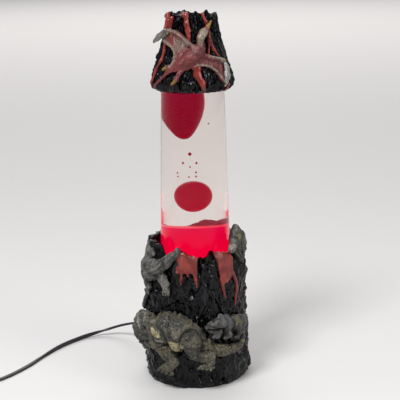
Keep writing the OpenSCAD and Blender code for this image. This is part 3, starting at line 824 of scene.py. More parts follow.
class Clay:
    """A skin modelled over the rock as a field of distances in unrolled millimetres.

    u runs round the rock, v is the height, and w stands off the rock's mean surface. Shapes are
    given as (angle, height, stand-off, radius).
    """

    FAR = 6.0  # the field away from any shape
    DEEP = -3.0  # where the field starts, below the rock's mean surface
    SKIN = 1.4  # how near the surface the skin's relief is added

    def __init__(self, radius_at, angles, heights, thick, cell=0.45):
        self.radius_at = radius_at
        self.cell = cell
        self.middle = sum(angles) / 2
        self.unroll = float(radius_at(sum(heights) / 2)) + 0.3 * thick
        half = math.radians(angles[1] - angles[0]) / 2 * self.unroll
        self.low = np.array([-half, heights[0], self.DEEP])
        span = np.array([half, heights[1], thick]) - self.low
        self.shape = np.ceil(span / cell).astype(int) + 1
        self.field = np.full(self.shape, self.FAR)
        self.axes = [low + cell * np.arange(n) for low, n in zip(self.low, self.shape)]

    def flat(self, shape):
        """A shape's points as (u, v, w)."""
        p = np.array([q[:3] for q in shape], float)
        p[:, 0] = np.radians(p[:, 0] - self.middle) * self.unroll
        return p

    def flat_line(self, line):
        """A line [(angle, height)] as (u, v)."""
        return self.flat([(a, z, 0) for a, z in line])[:, :2]

    def block(self, low, high):
        """The part of the field between two corners, and its u, v and w."""
        start = np.floor((low - self.low) / self.cell).astype(int).clip(0, self.shape - 1)
        stop = np.ceil((high - self.low) / self.cell).astype(int).clip(start + 1, self.shape)
        where = tuple(slice(a, b) for a, b in zip(start, stop))
        return where, np.meshgrid(*[x[k] for x, k in zip(self.axes, where)], indexing="ij")

    def limb(self, shape, blend=3.0, squash=1.0, cut=False):
        """Round limbs from point to point; squash above 1 thins them towards the rock."""
        places = self.flat(shape)
        radii = [p[3] for p in shape]
        for a, b, ra, rb in zip(places, places[1:], radii, radii[1:]):
            reach = max(ra, rb) + blend + 1.5
            where, (u, v, w) = self.block(np.minimum(a, b) - reach, np.maximum(a, b) + reach)
            along = (b - a) * (1, 1, squash)
            du, dv, dw = u - a[0], v - a[1], (w - a[2]) * squash
            t = (du * along[0] + dv * along[1] + dw * along[2]) / max(along @ along, 1e-6)
            t = t.clip(0, 1)
            d = np.sqrt(
                (du - t * along[0]) ** 2 + (dv - t * along[1]) ** 2 + (dw - t * along[2]) ** 2
            ) - ra - (rb - ra) * t
            if cut:
                self.field[where] = -soft_min(-self.field[where], d, blend)
            else:
                self.field[where] = soft_min(self.field[where], d, blend)

    def limbs(self, *limbs):
        """Several limbs, each with its shape, its blend and its squash, if any."""
        for shape, *how in limbs:
            self.limb(shape, *how)

    def sheet(self, outline, thick, blend=1.0, edge=1.5):
        """A lump with a flat outline [(angle, height)], its top at a stand-off, round-edged."""
        corners = self.flat_line(outline)
        low = np.array([*corners.min(0) - 3, self.DEEP])
        high = np.array([*corners.max(0) + 3, thick + 3])
        where, (u, v, w) = self.block(low, high)
        around = polygon_distance(u[:, :, 0], v[:, :, 0], corners)[:, :, None]
        d = -soft_min(-(around + 0 * w), -(w - thick), edge)
        self.field[where] = soft_min(self.field[where], d, blend)

    def groove(self, line, width, depth):
        """A crease along a line [(angle, height)] in whatever lies there; a ridge if negative."""
        line = self.flat_line(line)
        low = np.array([*line.min(0) - 2.5 * width, self.low[2]])
        high = np.array([*line.max(0) + 2.5 * width, self.axes[2][-1] + self.cell])
        where, (u, v, _) = self.block(low, high)
        away = squared_away(u[:, :, 0], v[:, :, 0], line)
        self.field[where] += (depth * np.exp(-away / width ** 2))[:, :, None]

    def along(self, points, line, width):
        """1 on a line [(angle, height)], fading to 0 at a distance."""
        away = squared_away(points[:, 0], points[:, 1], self.flat_line(line))
        return np.exp(-away / width ** 2)

    def spot(self, points, angle, height, radius, soft=0.5):
        """1 near a place, fading to 0 at a distance."""
        place = self.flat([(angle, height, 0)])[0]
        away = np.hypot(points[:, 0] - place[0], points[:, 1] - place[1])
        return smooth_drop(away, radius * (1 - soft), radius)

    def near(self, points, shape, reach=1.0):
        """1 on a limb's own surface, fading to 0 at a distance from it."""
        places = self.flat(shape)
        best = np.full(len(points), 1e9)
        for a, b, first, last in zip(places, places[1:], shape, shape[1:]):
            t = ((points - a) @ (b - a) / max((b - a) @ (b - a), 1e-6)).clip(0, 1)
            d = np.linalg.norm(points - a - t[:, None] * (b - a), axis=1)
            best = np.minimum(best, d - first[3] - (last[3] - first[3]) * t)
        return smooth_drop(best, 0.3 * reach, reach)

    def piece(self, name, material, body, skin, colour, replaces, slot):
        """The finished mesh, with its skin raised and its colour painted on."""
        near = np.abs(self.field) < self.SKIN
        places = np.argwhere(near) * self.cell + self.low
        self.field[near] -= skin(places)
        for axis in range(3):
            face = np.moveaxis(self.field, axis, 0)
            for end in (0, -1):  # kept empty, so that the surface closes
                face[end] = np.maximum(face[end], 0.5)
        points, quads = surface_net(self.field)
        points = points * self.cell + self.low
        angle = self.middle + np.degrees(points[:, 0] / self.unroll)
        radius = self.radius_at(points[:, 1]) + points[:, 2]
        made = mesh_object(
            name, rings_to_points(angle, radius, points[:, 1]), quads, material, body,
            replaces, slot,
        )
        hue = np.ones((len(points), 4), np.float32)
        hue[:, :3] = colour(points, skin(points))
        layer = made.data.attributes.new("hue", "FLOAT_COLOR", "POINT")
        layer.data.foreach_set("color", hue.ravel())


def blended(one, other, share):
    """A colour between two; the share of the other may differ from point to point."""
    share = np.asarray(share)[..., None]
    return one * (1 - share) + other * share


def coated(base, *coats):
    """Coats of (display colour, share) brushed over a colour one after another."""
    for tone, share in coats:
        base = blended(base, srgb(*tone), share)
    return base


def mottled(points, size, seed, one, other, low, high):
    """Two display colours in patches of a size."""
    return blended(srgb(*one), srgb(*other), smooth_step(wave(points, size, seed), low, high))


def hide_paint(name, roughness, pebbles, gloss, sheen):
    """Painted resin: the colour is on the mesh, with fine speckle, grain, and a wash with painted
    shade between the pebbles added.
    """
    p = Paint(name, (0.1, 0.1, 0.1), roughness, Specular_IOR_Level=gloss)
    hue = p.attribute("hue").outputs["Color"]
    grain = p.cells(pebbles)
    speckle = p.noise(1100, 6)
    # Darker where speckle and grain are high, between the pebbles: a wash and painted shade in the
    # crevices
    wash_and_shade = p.mix(p.span(p.maths(speckle, grain), 0.65, 1.15, 0.0, 0.6), hue, (0.0, 0.0, 0.0))
    lifted = p.mix(p.span(p.noise(420, 5), 0.55, 0.72, 0.0, 0.2), wash_and_shade, (0.22, 0.21, 0.19))
    p.drive("Base Color", lifted if not sheen else wash_and_shade)
    p.drive("Roughness", p.span(p.noise(500, 4), 0.3, 0.7, roughness * 0.7, roughness * 1.3))
    p.bump(p.maths(p.noise(800, 6), p.maths(grain, -0.9, "MULTIPLY")), 0.45, 0.0008)
    if sheen:
        p.set("Coat Weight", sheen)
        p.set("Coat Roughness", 0.12)
    return p.material


def pebbled(seed, pebble, height, fold, depth):
    """A skin of small pebbles and wider folds."""
    def skin(points):
        near = cells(points, pebble, seed)[0]
        folds = 1 - 2 * np.abs(wave(points * (1, 1, 0.5), fold, seed + 5))
        return height * (1 - 2.2 * near) + depth * folds + 0.12 * wave(points, 1.3, seed + 9)
    return skin


def wash_and_shade(base, relief, dark, light, low, high):
    """Dark wash and painted shade in the hollows of a skin, and a dry-brushed tone and painted
    highlight on its tops.
    """
    return coated(base, (dark, 0.85 * smooth_step(-relief, low, low + 0.4)),
                  (light, 0.45 * smooth_step(relief, high, high + 0.22)))


def make_horned(paint):
    """The horned animal across the front of the base, its head at the left."""
    clay = Clay(base_radius, (180, 345), (16, 100), 34)
    clay.limbs(
        # Trunk
        ([(228, 67, 5, 12), (240, 70.5, 7, 16), (252, 68.5, 8, 17), (264, 62, 6, 14),
          (274, 53, 4, 10)], 5),
        # Neck, face and jaw
        ([(232, 66, 9, 10), (218, 67, 11, 8.5), (206, 64, 12, 8)], 4),
        ([(204, 63, 14.5, 6.6), (207, 57, 15, 5.8), (212, 52, 15, 4.6), (215.5, 49, 15, 3.2)], 2.5),
        ([(217, 55, 14, 5), (224, 52.5, 13.5, 5.6), (231, 52, 13, 6)], 2.5),
        ([(218, 69, 15, 4.0), (226, 67.5, 15.5, 3.6)], 2),
        # Frill: a fan behind the head, with a scalloped edge
        ([(185, 60, 11, 5), (186, 67, 8.6, 4.5), (194, 73, 7.5, 4), (205, 76.5, 6, 3.6),
          (216, 77, 5, 3.4), (224, 75, 6, 3.4)], 3, 1.2),
        ([(192, 64, 12, 5), (199, 69.5, 10.5, 5), (211, 73, 9, 4.4), (219, 73, 10, 4.0)], 3, 1.2),
        *[([(angle, height, 9, 1.8), (angle, height, 10, 1.4)], 1) for angle, height in (
            (184, 58), (183, 65.5), (188, 71.5), (196, 76.5), (206, 79.5), (217, 80.5))],
    )
    ribs = [[(192, 76), (204, 72), (215, 68.5)], [(184, 69), (194, 65.5), (204, 62.5)],
            [(206, 80), (213, 76.5), (220, 73)]]
    for rib in ribs:
        clay.groove(rib, 1.3, -0.9)
    horn = [(231, 71.6, 20, 1.9), (234, 69, 21, 3.3), (237, 67, 21.2, 4.3)]
    stub = [(227, 77.6, 16, 2.4), (231.5, 78.4, 16, 2.0)]
    ring = [(235.5, 60.8, 20.4, 1.8), (240, 60.6, 20.4, 2.1)]
    belly = [(250.5, 60.5, 20.4, 4.8), (254, 57, 20, 5.6)]
    clay.limbs(
        (horn, 0.4), (stub, 0.4), (ring, 0.4),
        # Shoulder and front legs
        ([(230, 58, 12.5, 8), (237, 52, 13.5, 7.5), (243, 44, 13.5, 6.8), (248, 36.5, 12, 6.2)],
         2.5),
        ([(249, 36, 12, 5.8), (244, 29, 11.5, 5.4), (238, 26, 10.5, 4.2)], 2),
        *[([(235 + 4 * toe, 25 - toe, 13, 2), (233.5 + 4 * toe, 23 - toe, 14, 1.3)], 0.7)
          for toe in range(4)],
        ([(214, 48, 9, 5), (211, 44, 8.6, 4.4), (210, 41, 8.6, 3.4)], 2),
        # Thigh, shin and hind foot
        ([(263, 65.5, 12, 8), (265, 60, 14, 10), (266, 53, 13.5, 8.6), (267, 48.5, 13, 6.6)], 1.6,
         1.15),
        ([(267, 46, 13, 6), (275, 43, 12.5, 5.8), (283, 42.5, 10.5, 5.2)], 1.8),
        ([(283.5, 42, 10, 4.8), (283, 36, 10, 4.6), (279, 33, 11, 3.9)], 1.5),
        *[([(276 + 2.8 * toe, 32.6 - 0.9 * toe, 12, 2.1),
            (271 + 3.6 * toe, 29.8 - 0.8 * toe, 14, 1.1)], 0.8) for toe in range(4)],
        # Belly, tail and a row of bumps along the back
        ([(248, 56, 11, 6), (256, 54, 10, 6)], 3),
        (belly, 1.2),
        ([(272, 53, 5, 9), (284, 47.5, 6, 7.6), (297, 44, 5, 6.2), (310, 42.5, 4.4, 4.8),
          (321, 43.2, 4, 3.4), (330, 45, 3, 1.5)], 3),
        *[([(angle, height, 5, 1.9), (angle, height, 7, 1.4)], 1.2) for angle, height in (
            (229, 83), (235, 86), (241, 87.5), (247, 88), (253, 86.5), (259, 83.5), (264, 80),
            (269, 75.5), (274, 70), (278, 64.5), (283, 58))],
    )
    # Creases: line, width, depth and how dark their painted shade is
    creases = [
        ([(208, 49.5), (216, 51.5), (226, 56)], 1.1, 1.4, 1.0),
        ([(224, 86), (223, 80), (226, 75)], 1.5, 1.8, 0.8),
        ([(235, 77), (242.5, 71), (246, 63), (246, 57)], 2.1, 2.0, 0.85),
        ([(232, 48.5), (239, 53.5), (245, 57)], 1.6, 1.6, 0.9),
        ([(259, 47), (257, 53), (256, 60), (257, 67), (260.5, 72.5), (265, 74.5), (270, 72),
          (274, 66), (275.5, 58), (275, 53)], 1.5, 2.0, 0.7),
        ([(271, 50), (277, 49), (284, 48.5)], 1.3, 1.3, 0.6),
        ([(246, 84), (246, 76), (249, 68), (253, 64)], 2.0, 0.9, 0.4),
        ([(286, 53), (288, 46), (288, 38)], 1.8, 1.4, 0.7),
        ([(213, 71.5), (218, 72), (224, 71)], 1.2, 1.0, 0.5),
    ]
    for line, width, depth, _ in creases:
        clay.groove(line, width, depth)
    # Bands of the horn, the slit above the ring, the eye and its brow
    for share in (0.3, 0.55, 0.8):
        angle, height = 229.5 + 8.5 * share, 73.5 - 7.5 * share
        clay.groove([(angle - 2.6, height - 2.4), (angle + 2.6, height + 2.4)], 0.6, 0.5)
    clay.groove([(235, 63.2), (240.5, 63.2)], 0.8, 1.4)
    clay.groove([(219.5, 68.8), (221, 68.4)], 1.6, 2.0)
    clay.groove([(217, 71.8), (221.5, 72.4), (225, 69.6)], 0.9, -1.0)

    def colour(points, relief):
        base = coated(
            mottled(points, 9, 41, (61, 59, 51), (103, 98, 79), -0.4, 0.5),
            ((102, 94, 60), 0.65 * smooth_step(wave(points, 13, 43), -0.1, 0.5)),
            ((64, 63, 61), 0.75 * clay.spot(points, 212, 64, 22, 0.4)),
            ((58, 58, 60), 0.7 * clay.spot(points, 246, 68, 9, 0.6)),
            ((132, 124, 108), 0.55 * clay.spot(points, 253, 72, 7, 0.7)),
            *[((190, 186, 170), share * clay.along(points, rib, 1.0))
              for rib, share in zip(ribs, (0.85, 0.4, 0.4))],
        )
        base = wash_and_shade(base, relief, (22, 21, 20), (172, 167, 148), -0.08, 0.16)
        # Painted shade under the horn
        shade_under_horn = clay.near(points, [(234, 62, 18, 4), (239, 61, 18, 4)], 2)
        base = coated(base, ((14, 13, 13), 0.8 * shade_under_horn))
        cream = mottled(points, 3, 47, (158, 146, 108), (222, 210, 166), -0.5, 0.5)
        for shape, tone, share in (
            (belly, cream, 0.9), ([(324, 44, 3, 2), (330, 45, 3, 2)], cream, 0.8),
            (stub, srgb(142, 134, 124), 0.8), (ring, srgb(150, 146, 134), 0.9), (horn, cream, 1.0),
        ):
            base = blended(base, tone, share * clay.near(points, shape, 1.0))
        brow = [(218, 72), (222, 72.2), (225, 69.6)]
        return coated(
            base,
            # Painted shade along the creases
            *[((13, 12, 12), share * clay.along(points, line, 1.2)) for line, *_, share in creases],
            ((160, 156, 140), 0.6 * clay.spot(points, 188, 58, 5)),
            ((150, 146, 130), 0.6 * clay.along(points, brow, 0.9)),
            ((3, 3, 3), clay.spot(points, 220.6, 68.8, 2.2, 0.3)),
            # Painted shade where the skin meets the rock
            ((14, 13, 13), smooth_drop(points[:, 2], -0.5, 3.5)),
        )

    skin = pebbled(seed=50, pebble=1.9, height=0.27, fold=5.0, depth=0.25)
    clay.piece("horned", paint, "base", skin, colour, ["horned_animal"], "horned_hide")


def make_young(paint):
    """The young horned animal at the lower right of the base."""
    clay = Clay(base_radius, (272, 368), (44, 94), 20)
    clay.limbs(
        # Trunk, head, frill and jaw
        ([(303, 72.5, 4, 7), (312, 72, 4, 7.6), (322, 70, 3.6, 7.4), (332, 67.5, 1.6, 6.4),
          (343, 66, -1, 4.4), (352, 66, -1, 3)], 3),
        ([(280.5, 73, 7, 2.6), (285, 75.2, 8, 4.2), (291, 76.8, 8, 5.4), (297, 77, 7.5, 6)], 2),
        ([(295, 83.5, 6, 2.8), (302, 81, 6, 3.2), (305, 75, 7, 3.4), (302.5, 67, 7, 3)], 1.6, 1.1),
        ([(282, 70, 7, 2.2), (288, 67.8, 7.5, 2.8), (294, 66.5, 7.5, 3)], 1.2),
        # Legs
        ([(293, 66, 7, 3.2), (291, 62.5, 8, 2.7), (286.5, 61.5, 8.5, 2.1)], 1.4),
        ([(303, 66, 6, 4), (304, 61, 7, 3.2), (299, 58.5, 7.5, 2.4)], 1.4),
        ([(319, 64, 4.6, 4.6), (319, 58.5, 5, 3.6), (314, 55.5, 5.6, 2.6)], 1.4),
        ([(331, 62, 2, 3.6), (331, 57, 2, 2.6)], 1.4),
    )
    creases = [
        ([(298, 86), (300, 79), (299, 71), (297, 66)], 1.1, 0.9),
        ([(308, 83), (310, 75), (307, 66)], 1.5, 1.6),
        ([(281, 71.4), (288, 71), (293, 71.5)], 0.7, 1.0),
        ([(313, 72), (312, 65), (314, 58)], 1.6, 1.0),
    ]
    for crease in creases:
        clay.groove(*crease)
    clay.groove([(285.5, 74.6), (286.5, 74.8)], 0.9, 1.1)

    def colour(points, relief):
        base = coated(
            mottled(points, 6, 61, (60, 58, 56), (92, 90, 87), -0.3, 0.4),
            ((118, 118, 120), 0.5 * clay.spot(points, 299, 77, 10, 0.5)),
            ((122, 114, 74), 0.8 * clay.spot(points, 315, 75, 7)),
        )
        base = wash_and_shade(base, relief, (18, 17, 17), (148, 147, 145), -0.05, 0.14)
        return coated(
            base,
            # Painted shade along the creases
            *[((12, 12, 12), 0.6 * clay.along(points, line, 1.0)) for line, *_ in creases],
            ((6, 6, 6), clay.spot(points, 286, 74.7, 1.5)),
            # Painted shade where the skin meets the rock
            ((12, 11, 11), smooth_drop(points[:, 2], 0, 3)),
        )

    skin = pebbled(seed=70, pebble=2.0, height=0.22, fold=4.0, depth=0.25)
    clay.piece("young", paint, "base", skin, colour, ["young_animal"], "young_hide")


def make_climber(paint):
    """The animal that climbs at the left of the base, its tail round the side."""
    clay = Clay(base_radius, (168, 262), (66, 170), 18)
    clay.limbs(
        # Trunk, haunch and the long neck over the rim
        ([(206, 142, 1.5, 7), (202, 133, 1.6, 9), (201, 123, 1.6, 8.5), (199, 115, 1, 6)], 4),
        ([(209, 136, 3.4, 8.4), (219, 134, 5.6, 8.4), (226, 135, 5.6, 7.2)], 3.5),
        ([(209, 124, 3.6, 7.6), (217, 127, 5, 7.6)], 3),
        ([(222, 134, 6, 7.4), (230, 138, 5.5, 6.6), (237, 143.5, 4.5, 5.6), (244, 150.5, 3.4, 4.4),
          (250, 157, 2.4, 3.3)], 3),
        # Arm and hand at the rim
        ([(204, 143, 1.5, 5.4), (199, 148.5, 1.2, 4.2), (196, 152, 1, 3)], 2.5),
        ([(205, 146, 3, 4), (210, 150, 2.4, 3), (214, 147, 3, 2.6)], 2),
        # Hind legs
        ([(199, 118, 2, 5.6), (203, 111.5, 2.6, 4.8), (206, 107, 3.4, 3.6)], 1.6),
        ([(226, 131, 5, 5.8), (232, 124, 5, 4.8), (236, 117.5, 5, 4.2), (238, 112, 5.5, 3.2)], 1.6),
    )
    for toe in range(3):
        clay.limbs(
            ([(234 + 3 * toe, 110, 6, 1.5), (234 + 3.4 * toe, 107, 6.5, 0.9)], 0.6),
            ([(202 + 3.4 * toe, 104, 6, 1.5), (202 + 3.6 * toe, 101, 6, 0.9)], 0.6),
            ([(194.5 + 2.5 * toe, 152, 1.4, 1.7), (190 + 4.5 * toe, 156.5, 1.5, 0.8)], 0.8),
        )
    tail = [(202, 108, 1, 3), (197, 98, 1.5, 3), (190, 88, 2.4, 3.6), (184, 79, 2.6, 4.6)]
    clay.limb(tail, 2, 1.2)
    creases = [
        ([(213, 144), (211, 136), (214, 128), (210, 118)], 1.9, 1.7),
        ([(222, 127), (229, 128.5), (234, 133)], 1.5, 1.4),
        ([(218, 133), (228, 139.5), (238, 149), (246, 158)], 1.0, 0.9),
        ([(220, 128.5), (231, 135), (241, 144), (248, 152)], 1.0, 0.9),
        ([(203, 126), (206, 117), (205, 112)], 1.5, 1.3),
    ]
    for crease in creases:
        clay.groove(*crease)

    def colour(points, relief):
        base = coated(
            mottled(points, 7, 81, (74, 72, 69), (108, 105, 100), -0.4, 0.4),
            ((142, 134, 120), 0.7 * clay.spot(points, 236, 116, 7)),
        )
        base = wash_and_shade(base, relief, (24, 23, 22), (160, 158, 152), 0.0, 0.16)
        return coated(
            base,
            # Painted shade along the creases
            *[((20, 19, 19), 0.5 * clay.along(points, line, 1.1)) for line, *_ in creases],
            ((44, 44, 43), 0.8 * smooth_drop(points[:, 1], 92, 104)),
            # Painted shade where the skin meets the rock
            ((12, 11, 11), smooth_drop(points[:, 2], -0.5, 3)),
        )

    skin = pebbled(seed=90, pebble=2.4, height=0.16, fold=5.5, depth=0.42)
    clay.piece("climber", paint, "base", skin, colour, ["left_climber"], "climber_hide")


def make_hunter(paint):
    """The hunting animal at the right of the rim, head down over the lava."""
    clay = Clay(base_radius, (296, 385), (92, 186), 14)
    clay.limbs(
        # Back, neck and head reared over the rim
        ([(320, 158, 3, 5.4), (324, 165, 1.5, 6), (329, 171, 0, 5.6), (331, 175.5, -0.5, 2.6)], 3),
        ([(334, 168, -1, 6), (341, 162, -1, 6.8), (347, 153, -1.4, 6.8), (346, 144, -1.4, 5.6)],
         3.5),
        ([(328, 156, 2, 6.5), (337, 150, 2, 6.5)], 3),
        ([(320, 160, 4, 4.4), (315, 156.5, 5, 3.6), (310.5, 153.8, 5.6, 2.5)], 2),
        ([(319, 154, 3.6, 3), (314, 152, 4.4, 2)], 1.2),
        ([(324, 166, 6.4, 1.6), (320, 161, 7.6, 1.3)], 1),
    )
    # Claws of the front foot, spread like a fan below the jaw
    clay.sheet([(317, 153), (330, 158), (344, 156), (349, 146), (345, 137), (338, 131.5),
                (331, 138), (324, 146)], 4.0, 1.5, 2.0)
    hind_leg = [(347, 140, -1.4, 4.6), (356, 128, -1.6, 3.6), (358, 119, -0.4, 4.6),
                (357, 110, -1, 3)]
    clay.limb(hind_leg, 2.5)
    fan = [[(318 + 5 * k, 151 + 1.2 * k), (327 + 4 * k, 141 + 1.4 * k),
            (334 + 3.4 * k, 131 + 2 * k)] for k in range(5)]
    for line in fan:
        clay.groove(line, 0.9, 1.5)
    mouth = [(309, 152.4), (315, 154), (321, 156)]
    clay.groove(mouth, 0.7, 1.2)
    clay.groove([(321, 162.2), (321.8, 162.6)], 0.9, 1.1)

    def colour(points, relief):
        base = coated(
            mottled(points, 6, 101, (58, 57, 53), (98, 96, 86), -0.3, 0.5),
            ((110, 110, 80), 0.5 * smooth_step(wave(points, 8, 103), 0.1, 0.6)),
            ((150, 142, 86), 0.8 * clay.spot(points, 325, 166, 4)),
        )
        return coated(
            wash_and_shade(base, relief, (18, 18, 17), (150, 148, 138), -0.05, 0.16),
            ((176, 164, 158), 0.75 * clay.spot(points, 313.5, 155.5, 6)),
            # Painted shade in the grooves between the claws and in the mouth
            *[((10, 10, 10), 0.85 * clay.along(points, line, 0.9)) for line in fan],
            ((20, 19, 19), 0.7 * clay.along(points, mouth, 0.7)),
            ((30, 30, 30), 0.7 * smooth_drop(points[:, 1], 122, 136)),
            # Painted shade where the skin meets the rock
            ((12, 11, 11), smooth_drop(points[:, 2], -1.5, 2)),
        )

    skin = pebbled(seed=110, pebble=2.0, height=0.2, fold=4.5, depth=0.35)
    clay.piece("hunter", paint, "base", skin, colour, ["right_hunter"], "hunter_hide")


def make_flyer(paint, clear):
    """The flying animal spread over the front of the cap, and its two clear wing tips."""
    clay = Clay(cap_radius, (188, 345), (322, 402), 15, 0.4)
    # Edges of the membrane behind the left arm and the right arm
    left_edge = [(214, 377), (228, 373), (239, 369), (243, 363), (242, 356), (237, 351)]
    right_edge = [(316, 333), (311, 338.5), (305, 345.5), (297, 350.5), (288, 352.5), (277, 352.5)]
    clay.sheet([(222, 387), (240, 387), (253, 383), (265, 377), (273, 373), (279, 373), (284, 371),
                (286, 366), (291, 362.5), (301, 360.5), (312, 359), (320, 357.5), (318, 346),
                (315, 335), (313, 334.5), (310, 338.5), (305, 345), (297, 350), (288, 352),
                (279, 351.5), (272, 351), (264, 347.5), (256, 346.5), (245, 346.5), (236, 343),
                (229, 345), (235, 351), (240, 357), (242, 363), (238, 368), (228, 372), (214, 375),
                (212, 380)], 4.0, 1.0, 2.0)
    clay.limbs(
        # Thick rims of the membrane
        ([(242, 356, 2, 1.6), (243, 363, 2.4, 1.6), (239, 369, 2.6, 1.6), (228, 373, 3, 1.6),
          (214, 377, 4, 1.6)], 1.5),
        ([(317, 332, 3, 1.1), (311, 338.5, 3.2, 1.3), (305, 345.5, 3.2, 1.4),
          (297, 350.5, 3, 1.4), (288, 352.5, 3, 1.4), (277, 352.5, 3, 1.4)], 1.5),
        # Body, left arm and right arm
        ([(289, 373, 3, 3), (280, 366, 4, 5.5), (268, 361, 4, 6), (256, 355, 3, 4.5),
          (246, 350, 2.5, 3)], 3.5),
        ([(279, 366, 4, 3.4), (265, 374, 4.4, 2.3), (252, 380.5, 4.4, 2), (240, 385, 4.6, 2),
          (226, 386.5, 5, 2)], 2),
        ([(279, 365, 4, 3), (297, 360, 4.4, 2), (323, 355.5, 4.4, 2)], 2),
        # Neck, head and beak
        ([(286, 369, 5, 3.4), (283, 375, 6, 3), (284, 380, 7, 3.6), (289, 384.5, 7.4, 4.0),
          (294, 387, 7.4, 3.0)], 1.8),
        ([(292, 387, 7.4, 2.8), (299, 390.5, 7.4, 2.0), (307, 396, 6.6, 1.0)], 1.2),
        # Legs and tail
        ([(246, 349, 2.5, 2), (235, 351, 3, 1.8), (227, 348, 3, 1.9)], 1),
        ([(258, 350, 2.5, 2.4), (252, 344, 3.2, 2), (249, 338, 3.2, 2), (244, 334, 3, 1.8)], 1.2),
        ([(234, 345, 1.4, 1.7), (221, 336, 1.4, 1.4), (206, 327, 1.2, 1.0)], 1),
    )
    # Folds of the membrane, drawn from the arms to its trailing edge
    for share in (0.2, 0.4, 0.6, 0.8):
        clay.groove([(268 - 40 * share, 371 + 14 * share), (255 - 18 * share, 366 + 8 * share),
                     (248 - 14 * share, 357 + 14 * share)], 0.8, -0.7)
        clay.groove([(288 + 36 * share, 361.5 - 5 * share), (285 + 35 * share, 356 - 12 * share),
                     (284 + 32 * share, 352 - 19 * share)], 0.8, -0.7)
    beak_slit = [(292, 387.5, 9.6, 0.5), (304, 394.5, 7.4, 0.4)]
    clay.limb(beak_slit, 0.4, cut=True)

    def skin(points):
        slant = points @ np.array([[0.5, 0.8, 0], [-0.8, 0.5, 0], [0, 0, 1]]).T
        wrinkle = 1 - 2 * np.abs(wave(slant * (0.35, 1, 0.6), 1.9, 121))
        return 0.26 * wrinkle + 0.1 * wave(points, 3.0, 122)

    def colour(points, relief):
        beige, ochre = (168, 158, 138), (166, 128, 38)
        return coated(
            mottled(points, 6, 123, (112, 46, 49), (142, 63, 64), -0.4, 0.4),
            *[(beige, share * clay.spot(points, angle, height, radius, 0.7))
              for angle, height, radius, share in (
                (286, 381, 7, 0.95), (290, 385, 7, 0.95), (283, 375, 5, 0.6), (214, 382, 8, 0.8),
                (256, 374, 8, 0.35), (318, 357, 5, 0.7))],
            *[(beige, share * clay.along(points, edge, width)) for edge, width, share in (
                (right_edge, 1.0, 0.8), (left_edge, 1.4, 0.75),
                ([(277, 370), (265, 376), (252, 382), (240, 386.5), (226, 387.5)], 1.3, 0.5),
                ([(296, 361.5), (312, 359), (322, 357)], 1.6, 0.6))],
            *[(beige, 0.55 * clay.along(
                points, [(266 - 34 * k, 373 + 12 * k), (252 - 16 * k, 365 + 8 * k)], 0.9))
              for k in (0.1, 0.2, 0.3, 0.4, 0.5, 0.62, 0.76)],
            *[(ochre, 0.8 * clay.spot(points, angle, height, radius, 0.6))
              for angle, height, radius in (
                (301, 392, 5), (307, 396, 4), (325, 355, 4), (229, 349, 5), (232, 383, 3),
                (246, 336, 4))],
            # Painted shade in the hollows of the skin and painted highlight on its raised parts
            ((56, 23, 26), 0.35 * smooth_step(-relief, -0.05, 0.28)),
            ((176, 112, 108), 0.2 * smooth_step(relief, 0.22, 0.36)),
            # Painted shade where the skin meets the rock
            ((22, 14, 14), smooth_drop(points[:, 2], -0.9, 0.8)),
        )

    clay.piece("flyer", paint, "cap", skin, colour, ["flying_animal"], "flyer_skin")

    def smooth_skin(points):
        return 0.18 * (1 - 2 * np.abs(wave(points * (1, 0.4, 1), 2.2, 131)))

    def pale(points, relief):
        bright = smooth_step(-points[:, 1], -368, -362)
        low = blended(srgb(88, 84, 76), srgb(140, 136, 128), bright)
        high = blended(srgb(146, 142, 132), srgb(208, 206, 202), bright)
        # Painted shade in the hollows and painted highlight on the ridges of the tips' relief
        return blended(low, high, smooth_step(relief, -0.1, 0.15))

    for name, shape, angles, heights in (
        ("flyer_tip_left", [(228, 387, 5, 2.2), (216, 384, 6.5, 4.0), (205, 379.5, 8.6, 3.8),
                            (198, 375.5, 10, 2.4)], (183, 240), (362, 394)),
        ("flyer_tip_right", [(322.5, 354.5, 4.8, 2.0), (324, 349, 5.0, 3.4), (322, 341, 4.4, 3.8),
                             (317, 330, 2.6, 1.2)], (300, 340), (322, 366)),
    ):
        tip = Clay(cap_radius, angles, heights, 15, 0.4)
        tip.limb(shape, 1.5, 2.0)
        tip.piece(name, clear, "cap", smooth_skin, pale, (), "flyer_skin")


